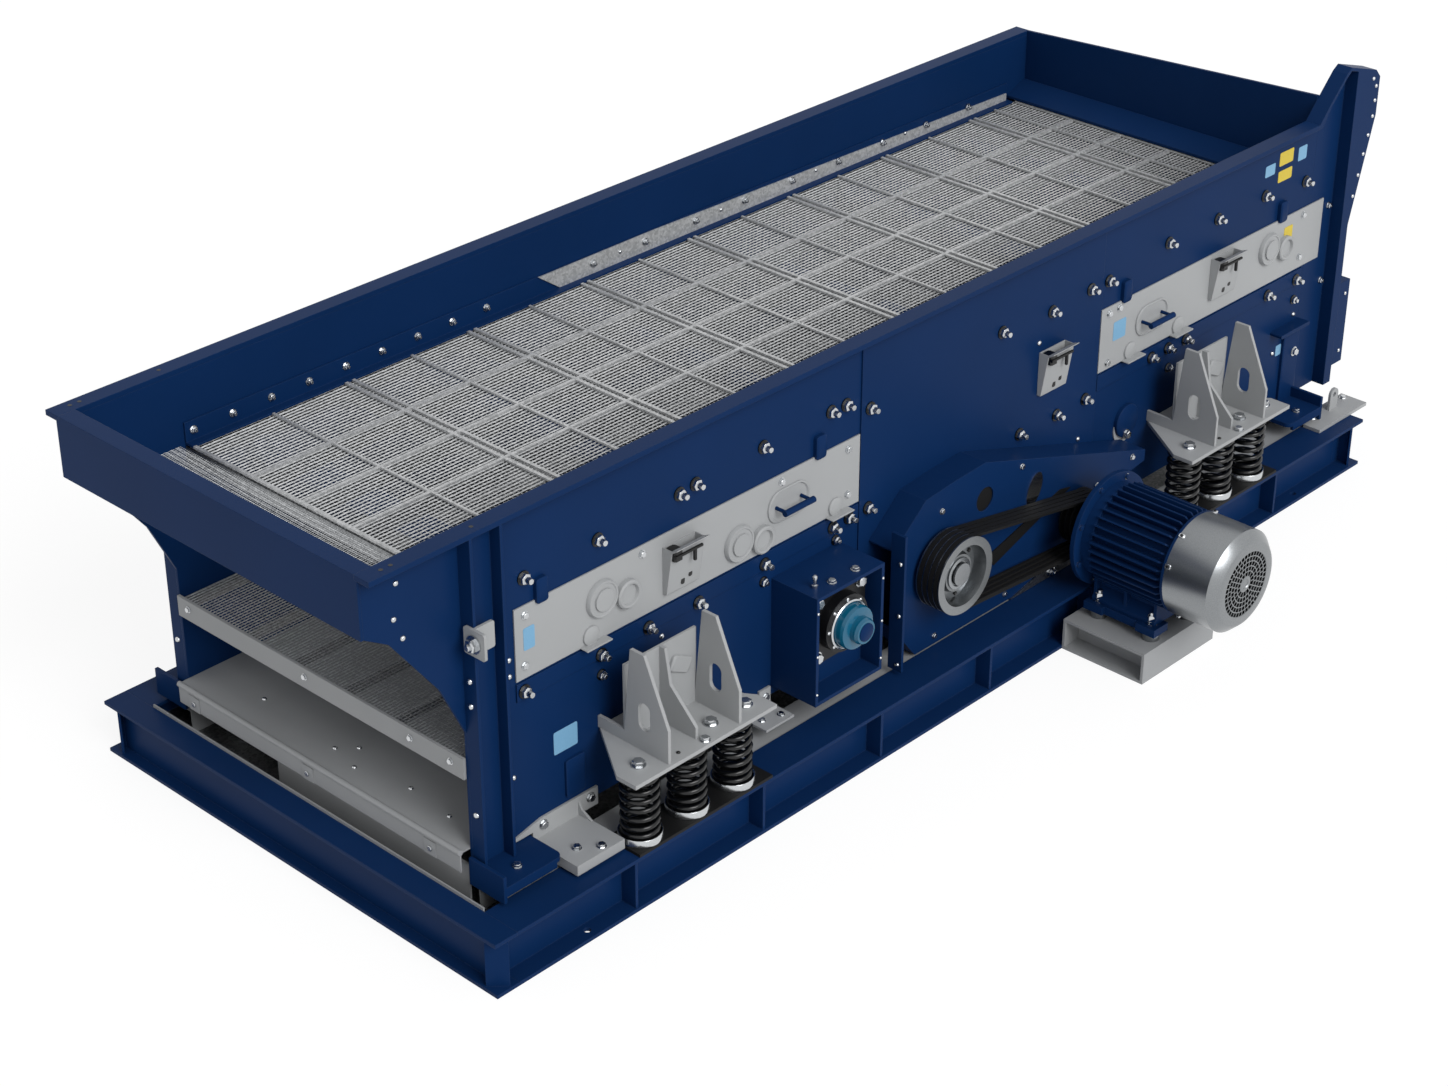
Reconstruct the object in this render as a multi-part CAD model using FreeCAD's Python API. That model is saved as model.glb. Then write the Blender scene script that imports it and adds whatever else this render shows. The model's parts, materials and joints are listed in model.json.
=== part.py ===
import FreeCAD
import Part
import math
import os

# Horizontal vibrating screen for sizing stone: a box of two steel side plates carries a top deck,
# a second deck and a fines pan, and stands on coil springs over a welded base frame. Two shafts in
# bearing boxes shake the box, and a foot-mounted motor turns one of them through four V-belts.
# Millimetres. +X points to the feed end, -X to the discharge end, -Y to the drive side, +Z up.
# The origin is the centre of the base frame's footprint on the ground.

Vector = FreeCAD.Vector

# Base frame
base_length = 5150.0
base_width = 2130.0
beam_depth = 220.0
beam_flange_width = 160.0
beam_flange_thickness = 14.0
beam_web_thickness = 10.0
end_beam_width = 100.0
end_web_thickness = 12.0
end_web_inset = 45.0
corner_plate_leg = 57.0
corner_plate_inset = 8.0
corner_plate_thickness = 7.0
stiffener_thickness = 12.0
stiffener_spacing = 640.0
stiffener_inset = 6.0
cross_member_width = 90.0
cross_member_height = 96.0
cross_member_wall = 8.0
cross_member_count = 3
floor_thickness = 6.0
floor_edge_gap = 6.0
skirt_thickness = 6.0
skirt_width = 121.0
skirt_drop = 4.0
end_strip_thickness = 6.0
end_strip_rise = 12.0
chute_plate_gap = 70.0
skirt_feed_gap = 115.0
chute_plate_thickness = 8.0
chute_plate_top_z = 300.0
chute_plate_reach = 260.0
chute_plate_inset = 7.0
anchor_hole_diameter = 26.0
anchor_from_end = 450.0

# Screen box
inner_width = 1524.0
side_plate_thickness = 12.0
side_bottom_z = 300.0
rim_top_z = 1594.0
rim_thickness = 20.0
rim_outstand = 59.0
discharge_post_x = -2400.0
post_length = 140.0
post_flange_thickness = 12.0
post_web_thickness = 10.0
cheek_foot_z = 830.0
cheek_knee_x = -2500.0
cheek_knee_z = 1040.0
cheek_neck_length = 110.0
cheek_neck_drop = 60.0
feed_plate_x = 2410.0
feed_plate_thickness = 12.0
feed_plate_bottom_z = 450.0
feed_plate_rise = 92.0
ledge_length = 125.0
ledge_rise = 45.0
ledge_thickness = 12.0
ledge_clearance = 12.0
header_x = -2805.0
header_thickness = 12.0
header_depth = 235.0
header_flange_width = 70.0

# Feed-end ear on the drive side: its outline stands above the rim
ear_start_x = 2340.0
ear_return_x = 2597.0
ear_plate_thickness = 12.0
ear_strip_thickness = 14.0
ear_peak_x = 2543.0
ear_peak_z = 1790.0
ear_tip_x = 2740.0
ear_tip_z = 1728.0
ear_edge_x = 2775.0
ear_edge_high_z = 1690.0
ear_edge_low_z = 1520.0
ear_waist_x = 2650.0
ear_waist_z = 1050.0
feed_box_end_x = 2868.0
feed_box_width = 300.0
feed_box_low_z = 300.0
feed_box_high_z = 700.0
feed_box_side_gap = 12.0

# Shelf feet at the four corners of the box
foot_length = 272.0
foot_outstand = 170.0
foot_thickness_shelf = 18.0
foot_corner_diameter = 60.0
foot_lip_thickness = 14.0
foot_lip_low_z = 238.0
foot_edge_low_z = 262.0
foot_lip_high_z = 345.0
feed_foot_length = 250.0

# Lap plates and light covers on the side plates
lap_thickness = 6.0
lap_gap = 5.0
cover_low_z = 925.0
cover_high_z = 1200.0
cover_thickness = 6.0
left_cover_x = (-2180.0, -480.0)
right_cover_x = (960.0, 2405.0)
ear_cover_end_x = 2520.0
lap_rail_low_z = 846.0
lap_rail_high_z = 915.0
middle_panel_low_z = 420.0
middle_panel_high_z = 1560.0
latch_places = ((-1417.0, 1080.0), (645.0, 1085.0), (1776.0, 1110.0))
latch_width = 160.0
latch_top = 72.0
latch_bottom = 110.0
latch_depth_top = 46.0
latch_depth_bottom = 18.0
latch_wall = 4.0
latch_lip = 24.0
handle_places = ((-864.0, 1078.0), (1299.0, 1060.0))
handle_span = 130.0
handle_outstand = 55.0
handle_leg_diameter = 14.0
handle_grip_diameter = 24.0
round_cover_places = ((-1789.0, 1080.0), (-1122.0, 1014.0), (2119.0, 1092.0))
round_cover_diameter = 130.0
round_cover_thickness = 14.0
round_cover_boss_diameter = 84.0
round_cover_boss_height = 8.0

# Decks
top_deck_z = 1300.0
top_deck_start_x = -2310.0
top_deck_end_x = 2300.0
second_deck_z = 720.0
pan_z = 372.0
pan_thickness = 6.0
pan_overhang = 44.0
pan_nosing_diameter = 22.0
pan_apron_depth = 80.0
pan_tab_size = 60.0
deck_end_gap = 40.0
deck_side_gap = 2.0
wire_cloth_thickness = 10.0
cloth_openings_along = 12
cloth_web_width = 80.0
deck_bar_width = 14.0
deck_bar_depth = 55.0
second_bar_depth = 35.0
deck_rim_width = 40.0
long_bar_places = (-393.0, -131.0, 131.0, 393.0)
first_pair_x = -1600.0
pair_spacing = 597.0
pair_count = 7
cross_bar_gap = 34.0
hold_down_thickness = 8.0
single_bar_width = 10.0
hold_down_side_gap = 2.0
discharge_cloth_start_x = -2700.0
discharge_cloth_end_x = -2325.0
lip_depth = 82.0
lip_thickness = 12.0
lip_rise = 8.0
cross_tube_diameter = 102.0
cross_tube_count = 6
clamp_rail_height = 85.0
clamp_rail_width = 45.0
clamp_rail_thickness = 8.0
edge_strip_start_x = -620.0
edge_strip_end_gap = 10.0
edge_strip_thickness = 6.0
edge_strip_slant = 110.0
edge_strip_fall = 45.0

# Spring mounts: places along the box are the middles of the brackets
discharge_bracket_x = -1633.0
feed_bracket_x = 1512.0
spring_offset = 38.0
spring_spacing = 230.0
spring_outer_diameter = 145.0
spring_wire = 20.0
spring_active_turns = 5.5
spring_seat_diameter = 140.0
spring_seat_thickness = 14.0
spring_seat_clearance = 0.3
pad_thickness = 12.0
pad_length = 665.0
pad_offset = 20.0
pad_edge_inset = 8.0
bracket_length = 690.0
bracket_plate_thickness = 16.0
bracket_plate_z = 560.0
bracket_edge = 66.0
bracket_standoff = 128.0
bracket_back_thickness = 10.0
bracket_back_height = 300.0
bracket_corner_length = 80.0
gusset_thickness = 14.0
gusset_height = 380.0
gusset_root_height = 46.0
gusset_spacing = 345.0
gusset_edge_inset = 12.0
gusset_front_height = 130.0
gusset_top_width = 64.0
gusset_lean = 34.0
gusset_hole_width = 56.0
gusset_hole_height = 110.0
gusset_hole_inset = 98.0
gusset_hole_rise = 138.0
middle_gusset_knee = 165.0
middle_gusset_knee_width = 48.0
middle_gusset_top_width = 24.0
middle_gusset_inset = 40.0

# Light brackets beside the springs and at the feed end
clamp_shelf_x = (-2138.0, -1915.0)
clamp_shelf_outstand = 226.0
clamp_shelf_z = 272.0
clamp_low_z = 232.0
clamp_back_high_z = 345.0
clamp_back_overhang = 85.0
clamp_end_clearance = 40.0
clamp_foot_clearance = 6.0
clamp_wall = 10.0
shelf_x = (-1100.0, -950.0)
shelf_outstand = 128.0
shelf_z = 275.0
shelf_tab_length = 60.0
shelf_tab_height = 70.0
lug_plate_x = (2330.0, 2700.0)
lug_plate_width = 130.0
lug_plate_overhang = 35.0
lug_plate_thickness = 15.0
lug_notch = 45.0
lug_x = 2545.0
lug_width = 60.0
lug_height = 70.0
lug_thickness = 12.0
lug_eye_diameter = 22.0

# Exciter
drive_shaft_x = -150.0
drive_shaft_z = 570.0
second_shaft_x = -758.0
second_shaft_z = 610.0
shaft_diameter = 90.0
shaft_clearance = 6.0
shaft_reach_inside = 110.0
bearing_clearance = 0.3
bore_clearance = 0.2
exciter_tube_diameter = 122.0
bearing_box_half_width = 182.0
bearing_box_drop = 270.0
bearing_box_depth = 220.0
bearing_box_wall = 14.0
bearing_box_back = 128.0
bearing_flange_size = 290.0
bearing_flange_thickness = 34.0
bearing_boss_diameter = 226.0
bearing_boss_length = 42.0
cap_diameter = 172.0
cap_skirt_length = 40.0
cap_length = 92.0
cap_dome_diameter = 104.0

# Belt drive
belt_count = 4
groove_pitch = 25.5
groove_edge = 17.0
groove_top_width = 22.4
groove_depth = 19.0
groove_angle = 36.0
belt_depth = 14.0
belt_clearance = 0.8
driven_pulley_diameter = 315.0
motor_pulley_diameter = 224.0
pulley_rim_thickness = 34.0
pulley_dish_depth = 54.5
pulley_hub_diameter = 150.0
pulley_hub_recess = 34.0
pulley_rim_draft = 10.0
pulley_hub_draft = 8.0
shaft_end_recess = 15.0
guard_clearance = 17.0
guard_thickness = 6.0
guard_shaft_gap = 20.0
guard_post_thickness = 12.0
guard_post_outstand = 60.0
guard_post_reach = 265.0
guard_left_low_z = 400.0
guard_left_high_z = 735.0
guard_low_z = 226.0
guard_crown = ((-93.0, 310.0), (79.0, 326.0), (255.0, 334.0))
guard_motor_reach = 125.0
guard_tip_height = 50.0
guard_tip_x = 1150.0
guard_tip_z = 560.0
guard_window_diameter = 100.0
guard_window_x = 110.0
guard_window_z = 745.0
guard_post_low_z = 240.0
guard_post_high_z = 820.0

# Motor
motor_x = 680.0
motor_z = 460.0
motor_shaft_diameter = 60.0
motor_gap = 32.5
motor_flange_thickness = 26.0
motor_flange_diameter = 470.0
motor_spigot_diameter = 300.0
motor_spigot_height = 6.0
motor_body_length = 400.0
motor_core_diameter = 350.0
motor_fin_diameter = 415.0
motor_fin_thickness = 7.0
motor_fin_count = 36
motor_fin_end_gap = 12.0
end_shield_length = 46.0
end_shield_diameter = 385.0
motor_fin_chamfer = 24.0
motor_bore_gap = 5.0
cowl_length = 235.0
cowl_diameter = 420.0
cowl_wall = 4.0
cowl_chamfer = 38.0
grille_hole_width = 18.0
grille_rings = ((50.0, 8), (78.0, 12), (106.0, 16))
fan_diameter = 300.0
fan_width = 50.0
fan_setback = 60.0
shaft_tail = 120.0
motor_base_height = 135.0
motor_base_length = 470.0
motor_base_width = 390.0
motor_base_wall = 12.0
motor_base_core_inset = 90.0
foot_spacer_height = 34.0
foot_spacer_diameter = 70.0
foot_spacing_x = 230.0
foot_spacing_y = 250.0
foot_distance = 180.0
foot_pad_size = 90.0
foot_rail_width = 60.0
foot_thickness = 34.0
leg_foot_width = 270.0
leg_waist_width = 190.0
leg_skirt_height = 18.0
leg_waist_height = 60.0
leg_length = 300.0
leg_top_below_axis = 140.0
leg_rib_thickness = 14.0
leg_rib_width = 250.0

# Worked-out places shared by several pieces
side_inner_y = inner_width / 2
side_outer_y = side_inner_y + side_plate_thickness
rim_outer_y = side_outer_y + rim_outstand
beam_outer_y = base_width / 2
beam_inner_y = beam_outer_y - beam_flange_width
beam_centre_y = (beam_outer_y + beam_inner_y) / 2
end_beam_inner_x = base_length / 2 - end_beam_width
lap_face_y = side_outer_y + lap_thickness
clamp_rail_end_x = feed_plate_x - ledge_length - ledge_clearance
spring_y = beam_outer_y - spring_outer_diameter / 2 - pad_edge_inset
bracket_outer_y = spring_y + spring_outer_diameter / 2 + bracket_edge
pad_top_z = beam_depth + pad_thickness
floor_top_z = beam_flange_thickness + cross_member_height + floor_thickness
pulley_width = 2 * groove_edge + (belt_count - 1) * groove_pitch
motor_flange_y = -beam_outer_y
pulley_back_y = motor_flange_y + motor_gap + pulley_width
guard_face_y = pulley_back_y + guard_clearance
shaft_hole_diameter = shaft_diameter + 2 * shaft_clearance
motor_flange_back_y = motor_flange_y - motor_flange_thickness
motor_body_end_y = motor_flange_back_y - motor_body_length
foot_middle_y = motor_flange_back_y - foot_distance


def box(x0, x1, y0, y1, z0, z1):
    """Block between two corners."""
    return Part.makeBox(x1 - x0, y1 - y0, z1 - z0, Vector(x0, y0, z0))


def rod_y(diameter, y0, y1, x, z):
    """Round bar along Y."""
    return Part.makeCylinder(diameter / 2, y1 - y0, Vector(x, y0, z), Vector(0, 1, 0))


def rod_z(diameter, z0, z1, x, y):
    """Round bar along Z."""
    return Part.makeCylinder(diameter / 2, z1 - z0, Vector(x, y, z0), Vector(0, 0, 1))


def plate_xz(outline, y0, y1):
    """Plate with an outline of (x, z) corners, as thick as y0 to y1."""
    corners = [Vector(x, y0, z) for x, z in outline]
    face = Part.Face(Part.makePolygon(corners + corners[:1]))
    return face.extrude(Vector(0, y1 - y0, 0))


def plate_yz(outline, x0, x1):
    """Plate with an outline of (y, z) corners, as thick as x0 to x1."""
    corners = [Vector(x0, y, z) for y, z in outline]
    face = Part.Face(Part.makePolygon(corners + corners[:1]))
    return face.extrude(Vector(x1 - x0, 0, 0))


def plate_xy(outline, z0, z1):
    """Plate with an outline of (x, y) corners, as thick as z0 to z1."""
    corners = [Vector(x, y, z0) for x, y in outline]
    face = Part.Face(Part.makePolygon(corners + corners[:1]))
    return face.extrude(Vector(0, 0, z1 - z0))


def turned_y(profile, x, z):
    """Solid of revolution about a Y axis through (x, z), from (radius, y) corners."""
    corners = [Vector(x + radius, y, z) for radius, y in profile]
    face = Part.Face(Part.makePolygon(corners + corners[:1]))
    return face.revolve(Vector(x, 0, z), Vector(0, 1, 0), 360)


def far_side(shape):
    """Copy of a drive-side piece on the far side."""
    return shape.mirror(Vector(0, 0, 0), Vector(0, 1, 0))


def both_sides(shapes):
    """Drive-side pieces and their copies on the far side."""
    return shapes + [far_side(shape) for shape in shapes]


def fused(shapes):
    """One solid from pieces that overlap or share faces."""
    whole = shapes[0]
    if len(shapes) > 1:
        whole = whole.fuse(shapes[1:])
    return whole.removeSplitter()


def solid_from_rings(rings):
    """Closed solid from rings of corners: triangles between the rings and a flat cap at each end."""
    faces = []
    for ring, following in zip(rings, rings[1:]):
        for index in range(len(ring)):
            after = (index + 1) % len(ring)
            for corners in ((ring[index], ring[after], following[after]),
                            (ring[index], following[after], following[index])):
                faces.append(Part.Face(Part.makePolygon(list(corners) + [corners[0]])))
    for ring in (rings[0], rings[-1]):
        faces.append(Part.Face(Part.makePolygon(list(ring) + [ring[0]])))
    solid = Part.makeSolid(Part.makeShell(faces))
    if solid.Volume < 0:
        solid.reverse()
    return solid


def save(node, shapes):
    """Write the node's solids to its own file."""
    Part.makeCompound(shapes).exportStep("parts/" + node + ".step")


# Base frame

def anchor_holes():
    """Drills for the anchor bolts through the side beams' bottom flanges."""
    drills = []
    for x in (-base_length / 2 + anchor_from_end, base_length / 2 - anchor_from_end):
        for y in (-beam_centre_y - beam_flange_width / 4, beam_centre_y + beam_flange_width / 4):
            drills.append(rod_z(anchor_hole_diameter, -1, beam_flange_thickness + 1, x, y))
    return drills


def side_beam():
    """Drive-side I-beam between the end beams, with web stiffeners at even spacing."""
    low, high = -beam_outer_y, -beam_inner_y
    web_y = -beam_centre_y
    half = end_beam_inner_x
    web_z0 = beam_flange_thickness / 2
    web_z1 = beam_depth - beam_flange_thickness / 2
    pieces = [
        box(-half, half, low, high, 0, beam_flange_thickness),
        box(-half, half, low, high, beam_depth - beam_flange_thickness, beam_depth),
        box(-half, half, web_y - beam_web_thickness / 2, web_y + beam_web_thickness / 2, web_z0, web_z1),
    ]
    for x in stiffener_places():
        pieces.append(box(x - stiffener_thickness / 2, x + stiffener_thickness / 2,
                          low + stiffener_inset, high - stiffener_inset, web_z0, web_z1))
    return fused(pieces)


def corner_plate(side):
    """Slanting plate that closes the corner between the end beam's flanges."""
    x = -base_length / 2 + corner_plate_inset
    y = beam_outer_y - corner_plate_inset
    wall = corner_plate_thickness
    outline = [(x, y - corner_plate_leg), (x + corner_plate_leg, y),
               (x + corner_plate_leg + wall, y - wall), (x + wall, y - corner_plate_leg - wall)]
    outline = [(x_corner, side * y_corner) for x_corner, y_corner in outline]
    return plate_xy(outline, beam_flange_thickness / 2, beam_depth - beam_flange_thickness / 2)


def end_beam():
    """Discharge-end beam across the full width: flanges, a web set back between them and slanting corners."""
    outer = -base_length / 2
    inner = -end_beam_inner_x
    half = beam_outer_y
    web_x = outer + end_web_inset
    web_half = half - end_web_inset + corner_plate_inset + corner_plate_thickness
    web_z0 = beam_flange_thickness / 2
    web_z1 = beam_depth - beam_flange_thickness / 2
    pieces = [
        box(outer, inner, -half, half, 0, beam_flange_thickness),
        box(outer, inner, -half, half, beam_depth - beam_flange_thickness, beam_depth),
        box(web_x, web_x + end_web_thickness, -web_half, web_half, web_z0, web_z1),
    ]
    for side in (-1, 1):
        pieces.append(corner_plate(side))
        side_web = box(web_x, inner, beam_centre_y - beam_web_thickness / 2,
                       beam_centre_y + beam_web_thickness / 2, web_z0, web_z1)
        pieces.append(side_web if side > 0 else far_side(side_web))
    return fused(pieces)


def cross_member(x):
    """Channel between the side beams' webs that carries the chute floor."""
    half = beam_centre_y - beam_web_thickness / 2
    low = beam_flange_thickness
    high = low + cross_member_height
    width = cross_member_width
    body = box(x - width / 2, x + width / 2, -half, half, low, high)
    hollow = box(x - width / 2 + cross_member_wall, x + width / 2 + 1, -half - 1, half + 1,
                 low + cross_member_wall, high - cross_member_wall)
    return body.cut(hollow)


def chute_skirt():
    """Angle along the inside of the side beam that leads fine stone down onto the chute floor."""
    x0 = -end_beam_inner_x + chute_plate_gap + chute_plate_thickness + chute_plate_inset
    x1 = end_beam_inner_x - skirt_feed_gap
    high = beam_depth - skirt_drop
    inner = -beam_inner_y + skirt_width
    leg = box(x0, x1, -beam_inner_y, inner, high - skirt_thickness, high)
    drop = box(x0, x1, inner - skirt_thickness, inner, floor_top_z, high)
    return fused([leg, drop])


def chute_floor():
    half = beam_centre_y - beam_web_thickness / 2 - floor_edge_gap
    reach = end_beam_inner_x - floor_edge_gap
    floor = box(-reach, reach, -half, half, floor_top_z - floor_thickness, floor_top_z)
    for x in stiffener_places():
        for side in (-1, 1):
            y = side * beam_centre_y
            half_notch = stiffener_thickness / 2 + floor_edge_gap
            notch = box(x - half_notch, x + half_notch,
                        y - beam_flange_width / 2, y + beam_flange_width / 2, 0, beam_depth)
            floor = floor.cut(notch)
    return floor


def stiffener_places():
    count = int(end_beam_inner_x / stiffener_spacing)
    return [index * stiffener_spacing for index in range(-count, count + 1)]


def base_frame():
    drive_beam = side_beam()
    ends = end_beam()
    for drill in anchor_holes():
        drive_beam = drive_beam.cut(drill)
    save("base_beam_drive_side", [drive_beam])
    save("base_beam_far_side", [far_side(drive_beam)])
    save("base_end_beams", [ends, ends.mirror(Vector(0, 0, 0), Vector(1, 0, 0))])
    spacing = 2 * stiffener_spacing
    first = -(cross_member_count - 1) * spacing / 2 + stiffener_spacing / 2
    save("base_cross_members", [cross_member(first + index * spacing) for index in range(cross_member_count)])
    save("base_floor", [chute_floor()])
    chute_x = -end_beam_inner_x + chute_plate_gap
    chute_plate = box(chute_x, chute_x + chute_plate_thickness,
                      -side_inner_y + chute_plate_inset, chute_plate_reach, floor_top_z, chute_plate_top_z)
    strip = box(-end_beam_inner_x, -end_beam_inner_x + end_strip_thickness, -beam_inner_y + floor_edge_gap,
                beam_inner_y - floor_edge_gap, floor_top_z, beam_depth + end_strip_rise)
    save("chute_skirts", both_sides([chute_skirt()]) + [chute_plate, strip])


# Screen box

def cheek_outline():
    """Side plate outline: the plate runs on past the post as a cheek that carries the header."""
    top = rim_top_z - rim_thickness
    header_bottom = rim_top_z - header_depth
    front = header_x + header_thickness
    end = feed_plate_x + feed_plate_thickness
    return [
        (end, side_bottom_z),
        (end, top),
        (front, top),
        (front, header_bottom),
        (header_x + cheek_neck_length, header_bottom - cheek_neck_drop),
        (cheek_knee_x, cheek_knee_z),
        (discharge_post_x, cheek_foot_z),
        (discharge_post_x, side_bottom_z),
    ]


def side_plate():
    plate = plate_xz(cheek_outline(), -side_outer_y, -side_inner_y)
    for x, z in ((drive_shaft_x, drive_shaft_z), (second_shaft_x, second_shaft_z)):
        plate = plate.cut(rod_y(shaft_hole_diameter, -side_outer_y - 1, -side_inner_y + 1, x, z))
    return plate


def rim(end_x):
    """Top rail along one side: a flat bar on the plate's top edge that stands out past it."""
    return box(header_x, end_x, -rim_outer_y, -side_inner_y, rim_top_z - rim_thickness, rim_top_z)


def header():
    """Plate across the discharge end, hung from a flat top bar between the two rims."""
    half = side_inner_y
    bar = box(header_x, header_x + header_flange_width, -half, half, rim_top_z - rim_thickness, rim_top_z)
    plate = box(header_x, header_x + header_thickness, -side_outer_y, side_outer_y,
                rim_top_z - header_depth, rim_top_z - rim_thickness)
    return fused([bar, plate])


def discharge_post():
    """Channel on the side plate at the discharge end, open outwards."""
    x0 = discharge_post_x
    x1 = discharge_post_x + post_length
    z0 = side_bottom_z
    z1 = rim_top_z - rim_thickness
    inner = -side_outer_y
    outer = -rim_outer_y
    return fused([
        box(x0, x1, inner - post_web_thickness, inner, z0, z1),
        box(x0, x0 + post_flange_thickness, outer, inner, z0, z1),
        box(x1 - post_flange_thickness, x1, outer, inner, z0, z1),
    ])


def shelf_foot(x0, length):
    """Shelf bracket at the foot of the box: a plate with one round corner and a lip at its end."""
    inner = -side_outer_y
    outer = inner - foot_outstand
    z0 = side_bottom_z - foot_thickness_shelf
    radius = foot_corner_diameter / 2
    shelf = box(x0, x0 + length - radius, outer, inner, z0, side_bottom_z)
    strip = box(x0 + length - radius, x0 + length, outer + radius, inner, z0, side_bottom_z)
    corner = rod_z(foot_corner_diameter, z0, side_bottom_z, x0 + length - radius, outer + radius)
    lip = box(x0, x0 + foot_lip_thickness, outer, inner, foot_lip_low_z, foot_lip_high_z)
    edge = box(x0, x0 + length - radius, outer, outer + foot_lip_thickness, foot_edge_low_z, side_bottom_z)
    return fused([shelf, strip, corner, lip, edge])


def feed_plate():
    """Plate across the feed end between the side plates, rising from the far rim to the ear."""
    outline = [(-side_inner_y, feed_plate_bottom_z), (side_inner_y, feed_plate_bottom_z),
               (side_inner_y, rim_top_z), (-side_inner_y, rim_top_z + feed_plate_rise)]
    return plate_yz(outline, feed_plate_x, feed_plate_x + feed_plate_thickness)


def feed_ledge():
    """Sloped plate that leads the feed from the end plate onto the top deck."""
    low = top_deck_z + ledge_clearance
    high = low + ledge_rise
    outline = [
        (feed_plate_x, high + ledge_thickness),
        (feed_plate_x, high),
        (feed_plate_x - ledge_length, low),
        (feed_plate_x - ledge_length, low + ledge_thickness),
    ]
    return plate_xz(outline, -side_inner_y, side_inner_y)


def ear_strip_outline():
    """Flat strip bent up from the rim's end, over the ear's peak and down to its tip."""
    top = rim_top_z
    wall = ear_strip_thickness
    return [
        (ear_start_x, top - rim_thickness), (ear_start_x, top), (ear_start_x + 65, top + 71),
        (ear_peak_x - 33, ear_peak_z - 20), (ear_peak_x, ear_peak_z), (ear_tip_x, ear_tip_z),
        (ear_tip_x - 5, ear_tip_z - wall), (ear_peak_x, ear_peak_z - wall - 1),
        (ear_peak_x - 28, ear_peak_z - 35), (ear_start_x + 72, top + 58),
        (ear_start_x + 20, top - rim_thickness),
    ]


def feed_ear():
    """Drive-side ear at the feed end: set-back web, return, outer bolting plate and the strip over them."""
    inner = -side_inner_y
    web_x0 = feed_plate_x + feed_plate_thickness
    top = rim_top_z - rim_thickness
    under_strip = ear_peak_z - ear_strip_thickness - 8
    web = plate_xz([(web_x0, side_bottom_z), (ear_return_x, side_bottom_z), (ear_return_x, under_strip),
                    (ear_peak_x - 28, ear_peak_z - 28), (ear_start_x + 72, top + 80), (ear_start_x + 12, top),
                    (web_x0, top)], -side_outer_y, inner)
    turn = box(ear_return_x, ear_return_x + ear_plate_thickness, -rim_outer_y, inner,
               side_bottom_z, under_strip)
    outer = plate_xz([(ear_return_x, side_bottom_z), (ear_waist_x, side_bottom_z), (ear_waist_x, ear_waist_z),
                      (ear_edge_x, ear_edge_low_z), (ear_edge_x, ear_edge_high_z), (ear_tip_x, ear_tip_z),
                      (ear_return_x, ear_peak_z - 17)],
                     -rim_outer_y, -rim_outer_y + ear_plate_thickness)
    strip = plate_xz(ear_strip_outline(), -rim_outer_y, inner)
    return fused([web, turn, outer, strip])


def feed_box():
    """Closed box behind the feed end plate on the drive side."""
    y0 = -side_inner_y + feed_box_side_gap
    return box(feed_plate_x + feed_plate_thickness, feed_box_end_x, y0, y0 + feed_box_width,
               feed_box_low_z, feed_box_high_z)


def screen_box():
    plate = side_plate()
    plate_end = feed_plate_x + feed_plate_thickness
    save("side_plate_drive", [plate])
    save("side_plate_far", [far_side(plate)])
    save("rim_drive_side", [rim(ear_start_x)])
    save("rim_far_side", [far_side(rim(plate_end))])
    save("discharge_header", [header()])
    save("discharge_posts", both_sides([discharge_post()]))
    save("discharge_feet", both_sides([shelf_foot(discharge_post_x - 20, foot_length)]))
    feed_foot = shelf_foot(-plate_end, feed_foot_length)
    feed_foot = feed_foot.mirror(Vector(0, 0, 0), Vector(1, 0, 0))
    save("feed_feet", both_sides([feed_foot]))
    save("feed_end_plate", [feed_plate()])
    save("feed_ledge", [feed_ledge()])
    save("feed_ear", [feed_ear()])
    save("feed_box", [feed_box()])


# Covers, lap plates and fittings on the side plates

def lap_plates():
    """Middle panel and the rails under the covers, flat against the drive-side plate."""
    inner = -side_outer_y
    outer = -lap_face_y
    middle = box(left_cover_x[1] + lap_gap, right_cover_x[0] - lap_gap, outer, inner,
                 middle_panel_low_z, middle_panel_high_z)
    shaft_hole = rod_y(shaft_hole_diameter, outer - 1, inner + 1, drive_shaft_x, drive_shaft_z)
    plates = [middle.cut(shaft_hole)]
    for low, high in (left_cover_x, right_cover_x):
        plates.append(box(low, high, outer, inner, lap_rail_low_z, lap_rail_high_z))
    return plates


def far_box_opening():
    """Cut in the far-side middle panel that clears the driven shaft's bearing box."""
    half = bearing_box_half_width + lap_gap
    return box(drive_shaft_x - half, drive_shaft_x + half, side_outer_y - 1, lap_face_y + 1,
               side_bottom_z, drive_shaft_z + half)


def cover_strips(end):
    """Light cover strips over the side plate's inspection openings; the right one runs on to x = end."""
    inner = -side_outer_y
    return [box(low, high, inner - cover_thickness, inner, cover_low_z, cover_high_z)
            for low, high in (left_cover_x, (right_cover_x[0], end))]


def latch_box(x, z):
    """Folded pocket that is deep at the top and narrow at the foot, with its front lip bent out."""
    face = -lap_face_y
    wall = latch_wall
    wedge = [(face, z + latch_top), (face - latch_depth_top, z + latch_top),
             (face - latch_depth_bottom, z - latch_bottom), (face, z - latch_bottom)]
    inside = [(face - wall, z + latch_top + 1), (face - latch_depth_top + wall, z + latch_top + 1),
              (face - latch_depth_bottom + wall, z - latch_bottom + 4 * wall),
              (face - wall, z - latch_bottom + 4 * wall)]
    half = latch_width / 2
    pocket = plate_yz(wedge, x - half, x + half).cut(plate_yz(inside, x - half + wall, x + half - wall))
    lip_y = face - latch_depth_top
    lip_z = z + latch_top + latch_lip / 2
    lip = [(lip_y, z + latch_top - 2 * wall), (lip_y + wall, z + latch_top),
           (lip_y - latch_lip, lip_z), (lip_y - latch_lip, lip_z - wall)]
    return fused([pocket, plate_yz(lip, x - half, x + half)])


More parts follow.
